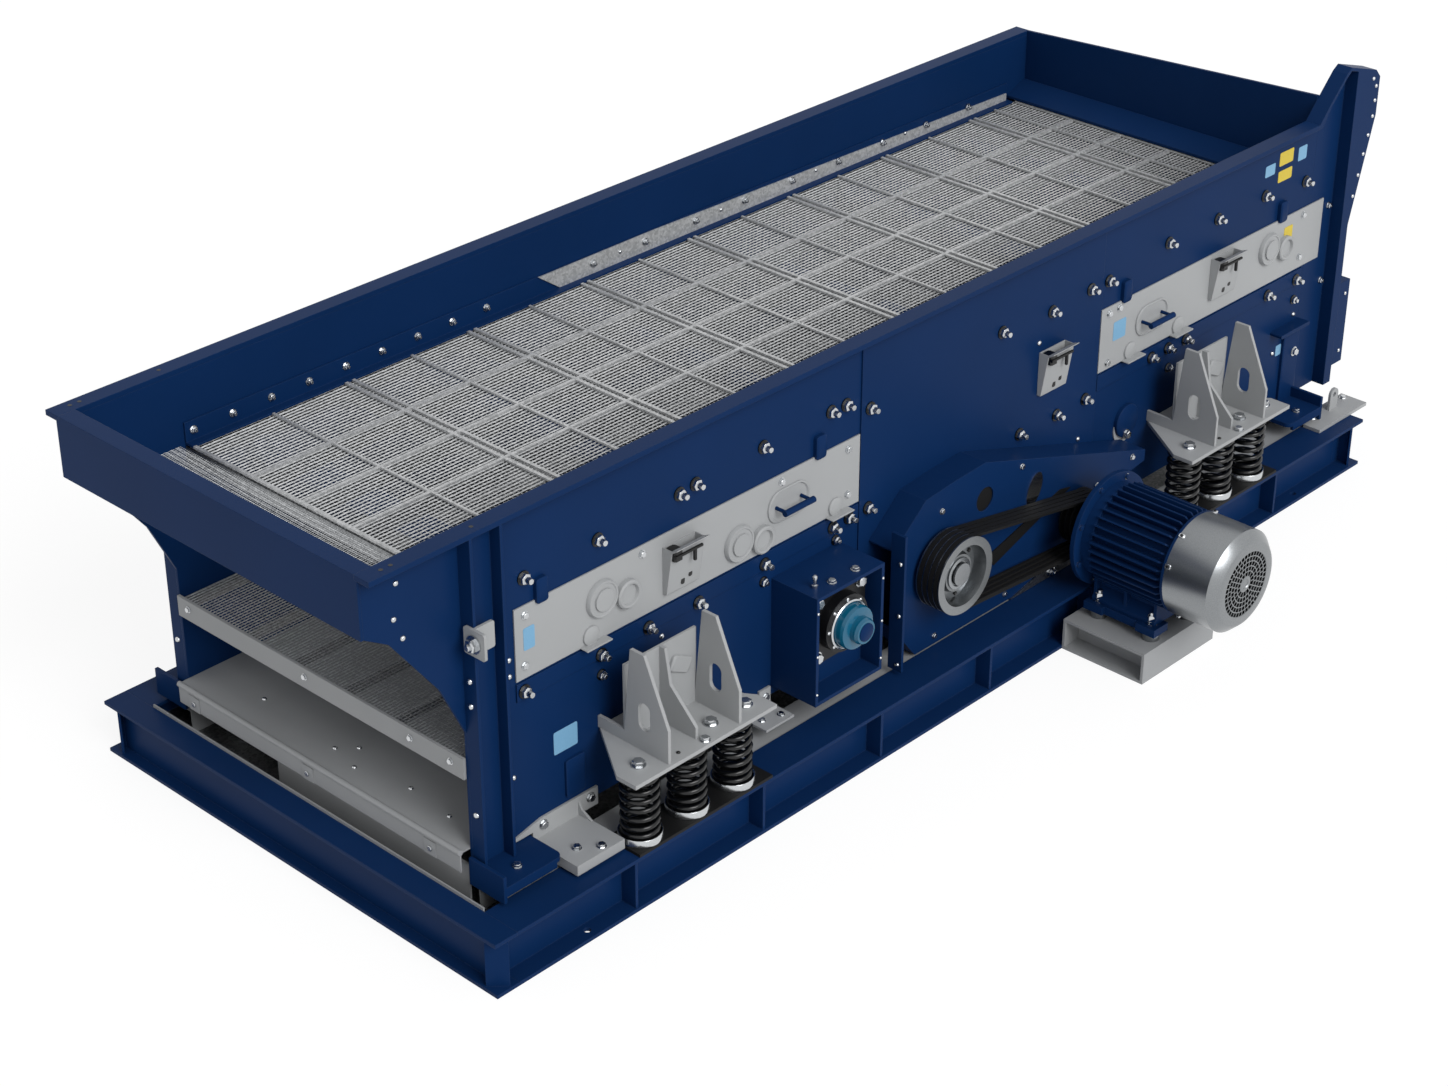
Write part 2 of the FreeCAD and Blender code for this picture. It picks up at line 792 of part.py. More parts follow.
def round_cover(x, z):
    """Round inspection cover with a raised boss."""
    face = -lap_face_y
    boss_y = face - round_cover_thickness
    return fused([
        rod_y(round_cover_diameter, boss_y, face, x, z),
        rod_y(round_cover_boss_diameter, boss_y - round_cover_boss_height, boss_y, x, z),
    ])


def grab_handle(x, z):
    """Straight grip on two legs."""
    face = -lap_face_y
    half = handle_span / 2
    grip_y = face - handle_outstand
    grip = Part.makeCylinder(handle_grip_diameter / 2, handle_span + handle_grip_diameter,
                             Vector(x - half - handle_grip_diameter / 2, grip_y, z), Vector(1, 0, 0))
    legs = [rod_y(handle_leg_diameter, grip_y, face, x + side * half, z) for side in (-1, 1)]
    return fused([grip] + legs)


def side_fittings():
    drive_plates = lap_plates()
    far_plates = [far_side(plate) for plate in drive_plates]
    far_plates[0] = far_plates[0].cut(far_box_opening())
    save("side_lap_plates", drive_plates + far_plates)
    far_strips = [far_side(strip) for strip in cover_strips(right_cover_x[1])]
    save("cover_strips", cover_strips(ear_cover_end_x) + far_strips)
    fittings = [latch_box(x, z) for x, z in latch_places]
    fittings += [round_cover(x, z) for x, z in round_cover_places]
    save("cover_fittings", both_sides(fittings))
    save("cover_handles", both_sides([grab_handle(x, z) for x, z in handle_places]))


# Decks

# Decks

def pair_places(x0, x1):
    """Middle of each pair of cross bars that falls inside a deck."""
    places = [first_pair_x + index * pair_spacing for index in range(pair_count)]
    return [x for x in places if x0 + cross_bar_gap < x < x1 - cross_bar_gap]


def cross_bar(x, width, half, z0, z1):
    return box(x - width / 2, x + width / 2, -half, half, z0, z1)


def deck_grid(x0, x1, half, z0, z1):
    """Grid of flat bars: an end bar at each end, paired cross bars and single bars along the deck."""
    bars = [cross_bar(x0 + deck_bar_width / 2, deck_bar_width, half, z0, z1),
            cross_bar(x1 - deck_bar_width / 2, deck_bar_width, half, z0, z1)]
    for x in pair_places(x0, x1):
        for side in (-1, 1):
            bars.append(cross_bar(x + side * cross_bar_gap / 2, deck_bar_width, half, z0, z1))
    for y in long_bar_places:
        bars.append(box(x0, x1, y - deck_bar_width / 2, y + deck_bar_width / 2, z0, z1))
    return bars


def deck_frame(x0, x1, top, bar_depth):
    """Frame under the wire cloth: the grid between two rim bars along the side plates."""
    half = side_inner_y - deck_side_gap
    z1 = top - wire_cloth_thickness
    z0 = z1 - bar_depth
    rims = [box(x0, x1, -half, -half + deck_rim_width, z0, z1),
            box(x0, x1, half - deck_rim_width, half, z0, z1)]
    return fused(deck_grid(x0, x1, half, z0, z1) + rims)


def hold_down_grid():
    """Thin bars on top of the cloth over the frame's bars, with narrower bars between the pairs."""
    half = side_inner_y - clamp_rail_width - hold_down_side_gap
    z0 = top_deck_z
    z1 = top_deck_z + hold_down_thickness
    bars = deck_grid(top_deck_start_x, top_deck_end_x, half, z0, z1)
    pairs = pair_places(top_deck_start_x, top_deck_end_x)
    edges = [top_deck_start_x] + pairs + [top_deck_end_x]
    for low, high in zip(edges, edges[1:]):
        bars.append(cross_bar((low + high) / 2, single_bar_width, half, z0, z1))
    return fused(bars)


def wire_cloth(x0, x1, top, side_gap):
    """Panel of the outer size of a wire cloth."""
    half = side_inner_y - side_gap
    return box(x0, x1, -half, half, top - wire_cloth_thickness, top)


def open_cloth(x0, x1, top):
    """Panel with openings between the long bars, about as open as the woven cloth."""
    panel = wire_cloth(x0, x1, top, deck_side_gap)
    edges = [-side_inner_y] + list(long_bar_places) + [side_inner_y]
    pitch = (x1 - x0) / cloth_openings_along
    margin = cloth_web_width / 2
    openings = []
    for index in range(cloth_openings_along):
        start = x0 + index * pitch
        for low, high in zip(edges, edges[1:]):
            openings.append(box(start + margin, start + pitch - margin, low + margin, high - margin,
                                top - wire_cloth_thickness - 1, top + 1))
    return panel.cut(openings)


def discharge_lip(x, top):
    """Flat bar across a deck's discharge end."""
    high = top + lip_rise
    return box(x - lip_thickness, x, -side_inner_y, side_inner_y, high - lip_depth, high)


def fines_pan(x0, x1):
    """Pan floor with a round nosing, an apron and three tabs at its discharge end."""
    half = side_inner_y
    nose_x = x0 - pan_overhang
    apron_z = pan_z - pan_apron_depth
    pieces = [
        box(nose_x, x1, -half, half, pan_z - pan_thickness, pan_z),
        rod_y(pan_nosing_diameter, -half, half, nose_x, pan_z - pan_thickness / 2),
        box(nose_x - pan_thickness / 2, nose_x + pan_thickness / 2, -half, half, apron_z, pan_z),
    ]
    for y in (-half + 2 * pan_tab_size, 0, half - 2 * pan_tab_size):
        pieces.append(box(nose_x - pan_thickness, nose_x, y, y + pan_tab_size,
                          apron_z, apron_z + pan_tab_size))
    return fused(pieces)


def cross_tubes(z, positions):
    """Round tubes from side plate to side plate."""
    return [rod_y(cross_tube_diameter, -side_inner_y, side_inner_y, x, z) for x in positions]


def clamp_rail():
    """Angle along the inside of the plate that holds the cloth's edge down."""
    x0 = top_deck_start_x
    x1 = clamp_rail_end_x
    inner = -side_inner_y
    upright = box(x0, x1, inner, inner + clamp_rail_thickness, top_deck_z, top_deck_z + clamp_rail_height)
    ledge = box(x0, x1, inner, inner + clamp_rail_width, top_deck_z, top_deck_z + clamp_rail_thickness)
    return fused([upright, ledge])


def edge_strip():
    """Bright wear strip on the clamp rail's upright, with a slanting end."""
    face = -side_inner_y + clamp_rail_thickness
    low = top_deck_z + clamp_rail_thickness
    high = top_deck_z + clamp_rail_height
    end = clamp_rail_end_x - edge_strip_end_gap
    outline = [(edge_strip_start_x, high), (edge_strip_start_x + edge_strip_slant, low),
               (end, low), (end, high - edge_strip_fall), (0, high)]
    return plate_xz(outline, face, face + edge_strip_thickness)


def decks():
    x0 = discharge_post_x
    x1 = feed_plate_x - deck_end_gap
    save("top_deck_frame", [deck_frame(top_deck_start_x, top_deck_end_x, top_deck_z, deck_bar_depth)])
    save("top_deck_cloth", [open_cloth(top_deck_start_x, top_deck_end_x, top_deck_z)])
    save("hold_down_bars", [hold_down_grid()])
    save("discharge_cloth", [wire_cloth(discharge_cloth_start_x, discharge_cloth_end_x, top_deck_z, 0)])
    save("top_clamp_rails", both_sides([clamp_rail()]))
    save("deck_edge_strips", both_sides([edge_strip()]))
    save("second_deck_frame", [deck_frame(x0, x1, second_deck_z, second_bar_depth)])
    save("second_deck_cloth", [wire_cloth(x0, x1, second_deck_z, deck_side_gap)])
    save("second_deck_lip", [discharge_lip(x0, second_deck_z)])
    spacing = (x1 - x0) / cross_tube_count
    places = [x0 + (index + 0.5) * spacing for index in range(cross_tube_count)]
    tube_drop = wire_cloth_thickness + deck_bar_depth + cross_tube_diameter / 2
    save("top_deck_tubes", cross_tubes(top_deck_z - tube_drop, places))
    save("fines_pan", [fines_pan(x0, x1)])


# Springs and their brackets

def spring_group(x):
    """Places of the three springs under the bracket at x."""
    return [x + spring_offset + index * spring_spacing for index in (-1, 0, 1)]


def coil_spring(x, y, z0, z1):
    """Spring of square-cornered wire with a closed turn at each end, as a helix of straight runs."""
    runs_per_turn = 8
    mean_radius = (spring_outer_diameter - spring_wire) / 2
    half_wire = spring_wire / 2
    closed_pitch = spring_wire * 1.12
    active_rise = z1 - z0 - spring_wire - 2 * closed_pitch
    turns = spring_active_turns + 2
    rings = []
    for step in range(int(turns * runs_per_turn) + 1):
        turn = step / runs_per_turn
        rise = min(turn, 1) * closed_pitch
        rise += min(max(turn - 1, 0), spring_active_turns) * active_rise / spring_active_turns
        rise += max(turn - 1 - spring_active_turns, 0) * closed_pitch
        angle = 2 * math.pi * turn
        ring = []
        for radial, vertical in ((-1, -1), (1, -1), (1, 1), (-1, 1)):
            radius = mean_radius + radial * half_wire
            ring.append(Vector(x + radius * math.cos(angle), y + radius * math.sin(angle),
                               z0 + half_wire + rise + vertical * half_wire))
        rings.append(ring)
    return solid_from_rings(rings)


def spring_mounts():
    z0 = pad_top_z + spring_seat_thickness + spring_seat_clearance
    z1 = bracket_plate_z - spring_seat_thickness - spring_seat_clearance
    pattern = coil_spring(0, 0, z0, z1)
    for name, x in (("discharge", discharge_bracket_x), ("feed", feed_bracket_x)):
        springs = []
        for place in spring_group(x):
            spring = pattern.copy()
            spring.translate(Vector(place, -spring_y, 0))
            springs.append(spring)
        save("springs_drive_" + name, springs)
        save("springs_far_" + name, [far_side(spring) for spring in springs])
        bracket = spring_bracket(x)
        save("spring_bracket_drive_" + name, [bracket])
        save("spring_bracket_far_" + name, [far_side(bracket)])
    pads = []
    for x in (discharge_bracket_x, feed_bracket_x):
        pad = spring_pad(x)
        pads.extend([pad, far_side(pad)])
    save("spring_pads", pads)


def spring_pad(x):
    """Rubber pad strip on the beam with a round seat under each spring."""
    start = x + spring_offset + pad_offset - pad_length / 2
    pieces = [box(start, start + pad_length, -beam_outer_y, -beam_inner_y, beam_depth, pad_top_z)]
    for place in spring_group(x):
        pieces.append(rod_z(spring_seat_diameter, pad_top_z, pad_top_z + spring_seat_thickness,
                            place, -spring_y))
    return fused(pieces)


def spring_bracket(x):
    """Welded bracket on the side plate: spring plate, three gussets and a back plate that stands off."""
    half = bracket_length / 2
    inner = -side_outer_y
    stand = inner - bracket_standoff
    outer = -bracket_outer_y
    low = bracket_plate_z + bracket_plate_thickness
    high = low + gusset_height
    middle_half = gusset_spacing / 2
    corner_y = outer + bracket_corner_length + gusset_edge_inset
    plate_outline = [(x - middle_half, inner), (x - half, corner_y), (x - half, outer), (x + half, outer),
                     (x + half, corner_y), (x + middle_half, inner)]
    pieces = [
        plate_xy(plate_outline, bracket_plate_z, low),
        box(x - middle_half, x + middle_half, stand, stand + bracket_back_thickness,
            low, low + bracket_back_height),
    ]
    front = outer + gusset_edge_inset
    root = low + gusset_root_height
    tall = [(inner, low), (front, low), (front, low + gusset_front_height),
            (stand - gusset_lean - gusset_top_width, high), (stand - gusset_lean, high), (stand, root),
            (inner, root)]
    for side in (-1, 1):
        middle = x + side * middle_half
        gusset = plate_yz(tall, middle - gusset_thickness / 2, middle + gusset_thickness / 2)
        pieces.append(gusset.cut(oval_hole(middle, stand - gusset_hole_inset, low + gusset_hole_rise)))
    top = low + bracket_back_height
    short = [(stand, low), (front + middle_gusset_inset, low), (front + middle_gusset_inset, root),
             (stand - middle_gusset_knee_width, low + middle_gusset_knee),
             (stand - middle_gusset_top_width, top), (stand, top)]
    pieces.append(plate_yz(short, x - gusset_thickness / 2, x + gusset_thickness / 2))
    for place in spring_group(x):
        pieces.append(rod_z(spring_seat_diameter, bracket_plate_z - spring_seat_thickness, bracket_plate_z,
                            place, -spring_y))
    return fused(pieces)


def oval_hole(x, y, z):
    """Drill for the upright oval hole in a gusset."""
    width = gusset_hole_width
    straight = (gusset_hole_height - width) / 2
    drill = box(x - gusset_thickness, x + gusset_thickness, y - width / 2, y + width / 2,
                z - straight, z + straight)
    for side in (-1, 1):
        end = Part.makeCylinder(width / 2, 2 * gusset_thickness,
                                Vector(x - gusset_thickness, y, z + side * straight), Vector(1, 0, 0))
        drill = drill.fuse(end)
    return drill


# Light brackets on the drive side: clamp block by the discharge foot, shelf by the spring bracket, lug plate
# on the base at the feed end

def clamp_bracket():
    """Folded bracket beside the discharge foot: back plate, shelf with a lip, end web and gusset."""
    inner = -side_outer_y
    x0, x1 = clamp_shelf_x
    wall = clamp_wall
    outer = inner - clamp_shelf_outstand
    start = x0 - clamp_back_overhang
    end = x1 + clamp_back_overhang
    foot_top = side_bottom_z + clamp_foot_clearance
    back = plate_xz([(x0, clamp_shelf_z), (x0, foot_top), (start, foot_top), (start, foot_top + clamp_wall),
                     (x0 + clamp_back_overhang / 2, clamp_back_high_z), (end, clamp_back_high_z),
                     (end, clamp_shelf_z)], inner - wall, inner)
    shelf = box(x0, x1, outer, inner, clamp_shelf_z - wall, clamp_shelf_z)
    lip = box(x0, x1, outer, outer + wall, clamp_low_z, clamp_shelf_z)
    web = box(x0, x0 + wall, outer, inner - clamp_end_clearance, clamp_low_z, clamp_shelf_z)
    reach = clamp_back_high_z - clamp_shelf_z
    gusset = plate_yz([(inner, clamp_shelf_z), (inner - reach, clamp_shelf_z),
                       (inner - reach * 0.35, clamp_shelf_z + reach * 0.35), (inner, clamp_back_high_z)],
                      x1 - wall, x1)
    return fused([back, shelf, lip, web, gusset])


def side_shelf():
    """Small shelf plate with an upright tab at its end, between the spring bracket and the bearing box."""
    inner = -side_outer_y
    x0, x1 = shelf_x
    plate = box(x0, x1, inner - shelf_outstand, inner, shelf_z - clamp_wall, shelf_z)
    tab = box(x1 - shelf_tab_length, x1, inner - clamp_wall, inner, shelf_z, shelf_z + shelf_tab_height)
    return fused([plate, tab])


def lug_plate():
    """Plate on the base beam's end with a rounded upright lug."""
    x0, x1 = lug_plate_x
    y1 = -beam_inner_y + lug_plate_overhang
    y0 = y1 - lug_plate_width
    z0 = beam_depth
    z1 = z0 + lug_plate_thickness
    plate = box(x0, x1, y0, y1, z0, z1)
    plate = plate.cut(box(x0 - 1, x0 + lug_notch, y1 - lug_notch, y1 + 1, z0 - 1, z1 + 1))
    radius = lug_width / 2
    lug_y = y1 - lug_notch
    lug = box(lug_x - radius, lug_x + radius, lug_y - lug_thickness, lug_y, z1, z1 + lug_height)
    head = rod_y(lug_width, lug_y - lug_thickness, lug_y, lug_x, z1 + lug_height)
    eye = rod_y(lug_eye_diameter, lug_y - lug_thickness - 1, lug_y + 1, lug_x, z1 + lug_height)
    return fused([plate, lug, head]).cut(eye)


def light_brackets():
    save("base_brackets", both_sides([clamp_bracket(), side_shelf(), lug_plate()]))


# Exciter

def bearing_box(x, z):
    """Open box around a shaft's bearing on the side plate."""
    half = bearing_box_half_width
    wall = bearing_box_wall
    inner = -side_outer_y
    outer = inner - bearing_box_depth
    bottom = z - bearing_box_drop
    body = box(x - half, x + half, outer, inner, bottom, z + half)
    hollow = box(x - half + wall, x + half - wall, outer - 1, inner - bearing_box_back,
                 bottom + wall, z + half - wall)
    hole = rod_y(shaft_hole_diameter, inner - bearing_box_back - 1, inner + 1, x, z)
    return body.cut(hollow).cut(hole)


def bearing_flange(x, z):
    """Square flange bearing bolted inside the box, with its shaft end under a domed cap."""
    back = -side_outer_y - bearing_box_back
    front = back - bearing_flange_thickness
    half = bearing_flange_size / 2
    plate = box(x - half, x + half, front, back, z - half, z + half)
    boss = rod_y(bearing_boss_diameter, front - bearing_boss_length, front, x, z)
    return fused([plate, boss])


def bearing_cap(x, z):
    """Round cap: a skirt, a shoulder and a domed middle."""
    start = -side_outer_y - bearing_box_back - bearing_flange_thickness - bearing_boss_length
    skirt = cap_diameter / 2
    dome = cap_dome_diameter / 2
    end = start - cap_length
    profile = [(0, start), (0, end), (dome - 6, end), (dome, end + 12), (dome, start - cap_skirt_length - 18),
               (skirt - 4, start - cap_skirt_length - 12), (skirt, start - cap_skirt_length), (skirt, start)]
    return turned_y(profile, x, z)


def exciter_tube(x, z):
    """Tube from side plate to side plate around a shaft with out-of-balance weights."""
    return rod_y(exciter_tube_diameter, -side_inner_y, side_inner_y, x, z)


def exciter():
    """The second shaft has a bearing box on both sides, the driven shaft only on the far side."""
    for node, shape in (("bearing_box", bearing_box), ("bearing_flange", bearing_flange),
                        ("bearing_cap", bearing_cap)):
        second = shape(second_shaft_x, second_shaft_z)
        driven = shape(drive_shaft_x, drive_shaft_z)
        save(node, [second, far_side(second), far_side(driven)])
    bore = rod_y(shaft_diameter + 2 * bearing_clearance, -side_inner_y - 1,
                 -side_inner_y + shaft_reach_inside + shaft_clearance, drive_shaft_x, drive_shaft_z)
    drive_tube = exciter_tube(drive_shaft_x, drive_shaft_z).cut(bore)
    save("exciter_tubes", [drive_tube, exciter_tube(second_shaft_x, second_shaft_z)])


# Belt drive

def belt_places():
    """Middle of each groove along Y, from the pulley's back face."""
    return [pulley_back_y - groove_edge - index * groove_pitch for index in range(belt_count)]


def grooved_pulley(x, z, diameter, bore):
    """Pulley with V-grooves in its rim. A large one is dished in front, between rim and hub."""
    radius = diameter / 2
    back = pulley_back_y
    front = back - pulley_width
    half_top = groove_top_width / 2
    half_floor = half_top - groove_depth * math.tan(math.radians(groove_angle / 2))
    rim_inside = radius - pulley_rim_thickness
    hub_radius = pulley_hub_diameter / 2
    bore_radius = bore / 2 + bore_clearance
    outline = [(bore_radius, back), (radius, back)]
    for middle in belt_places():
        outline.append((radius, middle + half_top))
        outline.append((radius - groove_depth, middle + half_floor))
        outline.append((radius - groove_depth, middle - half_floor))
        outline.append((radius, middle - half_top))
    outline.append((radius, front))
    if rim_inside - pulley_rim_draft > hub_radius + pulley_hub_draft:
        dish_y = front + pulley_dish_depth
        hub_y = front + pulley_hub_recess
        outline.append((rim_inside, front))
        outline.append((rim_inside - pulley_rim_draft, dish_y))
        outline.append((hub_radius + pulley_hub_draft, dish_y))
        outline.append((hub_radius, hub_y))
        outline.append((bore_radius, hub_y))
    else:
        outline.append((bore_radius, front))
    return turned_y(outline, x, z)


def loop_wire(drop, y):
    """Closed belt line at one depth below the pulleys' rims, in the plane at y."""
    r1 = driven_pulley_diameter / 2 - drop
    r2 = motor_pulley_diameter / 2 - drop
    dx = motor_x - drive_shaft_x
    dz = motor_z - drive_shaft_z
    distance = math.hypot(dx, dz)
    along = math.atan2(dz, dx)
    lean = math.acos((r1 - r2) / distance)

    def rim_point(cx, cz, radius, angle):
        return Vector(cx + radius * math.cos(angle), y, cz + radius * math.sin(angle))

    upper_1 = rim_point(drive_shaft_x, drive_shaft_z, r1, along + lean)
    back_1 = rim_point(drive_shaft_x, drive_shaft_z, r1, along + math.pi)
    lower_1 = rim_point(drive_shaft_x, drive_shaft_z, r1, along - lean)
    lower_2 = rim_point(motor_x, motor_z, r2, along - lean)
    front_2 = rim_point(motor_x, motor_z, r2, along)
    upper_2 = rim_point(motor_x, motor_z, r2, along + lean)
    edges = [
        Part.Arc(upper_1, back_1, lower_1).toShape(),
        Part.LineSegment(lower_1, lower_2).toShape(),
        Part.Arc(lower_2, front_2, upper_2).toShape(),
        Part.LineSegment(upper_2, upper_1).toShape(),
    ]
    return Part.Wire(edges)


def v_belt(middle):
    """V-belt in its groove: ruled walls between the wide outer line and the narrow inner line."""
    half_top = groove_top_width / 2 - belt_clearance
    half_floor = half_top - belt_depth * math.tan(math.radians(groove_angle / 2))
    wires = [
        loop_wire(0, middle + half_top),
        loop_wire(0, middle - half_top),
        loop_wire(belt_depth, middle - half_floor),
        loop_wire(belt_depth, middle + half_floor),
    ]
    faces = []
    for wire, following in zip(wires, wires[1:] + wires[:1]):
        faces.extend(Part.makeRuledSurface(wire, following).Faces)
    solid = Part.makeSolid(Part.makeShell(faces))
    if solid.Volume < 0:
        solid.reverse()
    return solid


def belt_guard():
    """Back guard of the belt drive: a shallow tray towards the side plate, open round the shaft."""
    post_x = drive_shaft_x - guard_post_reach
    crown = [(drive_shaft_x + x, drive_shaft_z + z) for x, z in guard_crown]
    outline = [(post_x, guard_left_low_z), (post_x, guard_left_high_z)] + crown + [
        (guard_tip_x, guard_tip_z), (guard_tip_x, guard_tip_z - guard_tip_height),
        (motor_x + guard_motor_reach, motor_z), (motor_x - guard_motor_reach, guard_low_z),
        (drive_shaft_x - guard_motor_reach, guard_low_z)]
    corners = [Vector(x, guard_face_y, z) for x, z in outline]
    face = Part.Face(Part.makePolygon(corners + corners[:1]))
    depth = -lap_face_y - guard_face_y
    tray = face.extrude(Vector(0, depth, 0))
    hollow = face.makeOffset2D(-guard_thickness).extrude(Vector(0, depth, 0))
    hollow.translate(Vector(0, guard_thickness, 0))
    hole = rod_y(shaft_diameter + 2 * guard_shaft_gap, guard_face_y - 1, guard_face_y + guard_thickness + 1,
                 drive_shaft_x, drive_shaft_z)
    window = rod_y(guard_window_diameter, guard_face_y - 1, guard_face_y + guard_thickness + 1,
                   guard_window_x, guard_window_z)
    open_side = box(post_x - 1, post_x + 2 * guard_thickness, guard_face_y + guard_thickness, -lap_face_y + 1,
                    guard_left_low_z + guard_thickness, guard_left_high_z - guard_thickness)
    upright = box(post_x - guard_post_thickness, post_x, guard_face_y - guard_post_outstand,
                  guard_face_y + guard_thickness, guard_post_low_z, guard_post_high_z)
    return fused([tray.cut(hollow).cut(hole).cut(window).cut(open_side), upright])


def belt_drive():
    save("belt_guard", [belt_guard()])
    save("driven_pulley", [grooved_pulley(drive_shaft_x, drive_shaft_z, driven_pulley_diameter,
                                          shaft_diameter)])
    shaft_end = pulley_back_y - pulley_width + shaft_end_recess
    save("exciter_shaft", [rod_y(shaft_diameter, shaft_end, -side_inner_y + shaft_reach_inside,
                                 drive_shaft_x, drive_shaft_z)])
    save("drive_belts", [v_belt(middle) for middle in belt_places()])
    save("motor_pulley", [grooved_pulley(motor_x, motor_z, motor_pulley_diameter, motor_shaft_diameter)])


# Motor

def cooling_fin(y0, y1):
    """Radial fin with its outer corner cut off at the cowl end."""
    reach = motor_fin_diameter / 2
    half = motor_fin_thickness / 2
    outline = [(0, y1), (0, y0), (reach - motor_fin_chamfer, y0), (reach, y0 + motor_fin_chamfer), (reach, y1)]
    return plate_xy(outline, -half, half)


def motor_body():
    """Cast body with cooling fins between the drive-end flange and the cowl, standing on its legs."""
    y1 = motor_body_end_y
    y0 = motor_flange_back_y
    pieces = [
        rod_y(motor_core_diameter, y1, y0, motor_x, motor_z),
        rod_y(cowl_diameter, y1, y1 + motor_fin_end_gap, motor_x, motor_z),
        rod_y(end_shield_diameter, y0 - end_shield_length, y0, motor_x, motor_z),
    ]
    for index in range(motor_fin_count):
        fin = cooling_fin(y1 + motor_fin_end_gap, y0 - end_shield_length)
        fin.rotate(Vector(0, 0, 0), Vector(0, 1, 0), index * 360 / motor_fin_count)
        fin.translate(Vector(motor_x, 0, motor_z))
        pieces.append(fin)
    bore = rod_y(motor_shaft_diameter + 2 * motor_bore_gap, y1 - 1, y0 + 1, motor_x, motor_z)
    return fused([fused(pieces).cut(bore)] + motor_legs())


def motor_legs():
    """Cast legs: a waisted block with a rib at each end and one in the middle."""
    low = motor_base_height + foot_spacer_height + foot_thickness
    high = motor_z - leg_top_below_axis
    foot = leg_foot_width / 2
    waist = leg_waist_width / 2
    outline = [(motor_x - foot, low), (motor_x + foot, low), (motor_x + foot, low + leg_skirt_height),
               (motor_x + waist, low + leg_waist_height), (motor_x + waist, high), (motor_x - waist, high),
               (motor_x - waist, low + leg_waist_height), (motor_x - foot, low + leg_skirt_height)]
    legs = [plate_xz(outline, foot_middle_y - leg_length / 2, foot_middle_y + leg_length / 2)]
    for step in (-1, 0, 1):
        y = foot_middle_y + step * (leg_length - leg_rib_thickness) / 2
        legs.append(box(motor_x - leg_rib_width / 2, motor_x + leg_rib_width / 2, y - leg_rib_thickness / 2,
                        y + leg_rib_thickness / 2, low, high))
    return legs


def foot_places():
    """Centres of the four foot bolts."""
    return [(motor_x + side_x * foot_spacing_x / 2, foot_middle_y + side_y * foot_spacing_y / 2)
            for side_x in (-1, 1) for side_y in (-1, 1)]


def motor_feet():
    """Two rails under the legs, each with a bolt pad at both ends."""
    low = motor_base_height + foot_spacer_height
    high = low + foot_thickness
    half = foot_pad_size / 2
    feet = []
    for side in (-1, 1):
        x = motor_x + side * foot_spacing_x / 2
        pieces = [box(x - foot_rail_width / 2, x + foot_rail_width / 2, foot_middle_y - foot_spacing_y / 2,
                      foot_middle_y + foot_spacing_y / 2, low, high)]
        for place_x, y in foot_places():
            if place_x == x:
                pieces.append(box(x - half, x + half, y - half, y + half, low, high))
        feet.append(fused(pieces))
    return feet


def motor_flange():
    """Round mounting flange with a raised spigot ring round the shaft."""
    bore = motor_shaft_diameter / 2 + bearing_clearance
    spigot = motor_spigot_diameter / 2
    rim = motor_flange_diameter / 2
    face = motor_flange_y - motor_spigot_height
    back = motor_flange_back_y
    profile = [(bore, motor_flange_y), (spigot, motor_flange_y), (spigot + motor_spigot_height, face),
               (rim, face), (rim, back), (bore, back)]
    return turned_y(profile, motor_x, motor_z)


def motor_base():
    """Box of channels on the ground beside the base frame, its ends left open."""
    x0 = motor_x - motor_base_length / 2
    x1 = motor_x + motor_base_length / 2
    y1 = -beam_outer_y
    y0 = y1 - motor_base_width
    wall = motor_base_wall
    body = box(x0, x1, y0, y1, 0, motor_base_height)
    recess = box(x0 - 1, x1 + 1, y0 + wall, y1 - wall, wall, motor_base_height - wall)
    core = box(x0 + motor_base_core_inset, x1 - motor_base_core_inset, y0 + wall, y1 - wall,
               wall, motor_base_height - wall)
    return body.cut(recess.cut(core))


def grille_hole(radius, angle, end):
    """Six-sided drill through the cowl's end."""
    x = motor_x + radius * math.cos(angle)
    z = motor_z + radius * math.sin(angle)
    half = grille_hole_width / 2
    outline = [(x + half * math.cos(math.pi * step / 3), z + half * math.sin(math.pi * step / 3))
               for step in range(6)]
    return plate_xz(outline, end - 1, end + cowl_wall + 1)


def fan_cowl():
    """Sheet cowl over the fan: round wall, chamfer and an end grille around a plain hub."""
    radius = cowl_diameter / 2
    start = motor_body_end_y
    end = start - cowl_length
    wall = cowl_wall
    profile = [(radius - wall, start), (radius, start), (radius, end + cowl_chamfer),
               (radius - cowl_chamfer, end), (0, end), (0, end + wall),
               (radius - cowl_chamfer - wall / 2, end + wall),
               (radius - wall, end + cowl_chamfer + wall / 2)]
    cowl = turned_y(profile, motor_x, motor_z)
    holes = []
    for ring_radius, count in grille_rings:
        for index in range(count):
            holes.append(grille_hole(ring_radius, 2 * math.pi * index / count, end))
    return cowl.cut(holes)


def motor():
    save("motor_flange", [motor_flange()])
    save("motor_body", [motor_body()])
    save("motor_feet", motor_feet())
    spacer_top = motor_base_height + foot_spacer_height
    save("motor_spacers", [rod_z(foot_spacer_diameter, motor_base_height, spacer_top, x, y)
                           for x, y in foot_places()])
    save("motor_base", [motor_base()])
    save("motor_fan_cowl", [fan_cowl()])
    shaft = rod_y(motor_shaft_diameter, motor_body_end_y - shaft_tail, pulley_back_y, motor_x, motor_z)
    fan_front = motor_body_end_y - fan_setback
    fan = rod_y(fan_diameter, fan_front - fan_width, fan_front, motor_x, motor_z)
    save("motor_rotor", [fused([shaft, fan])])


def main():
    os.makedirs("parts", exist_ok=True)
    base_frame()
    screen_box()
    side_fittings()
    decks()
    spring_mounts()
    light_brackets()
    exciter()
    belt_drive()
    motor()


main()
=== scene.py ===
"""Two-deck vibrating screen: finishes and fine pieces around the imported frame."""

import json
import math

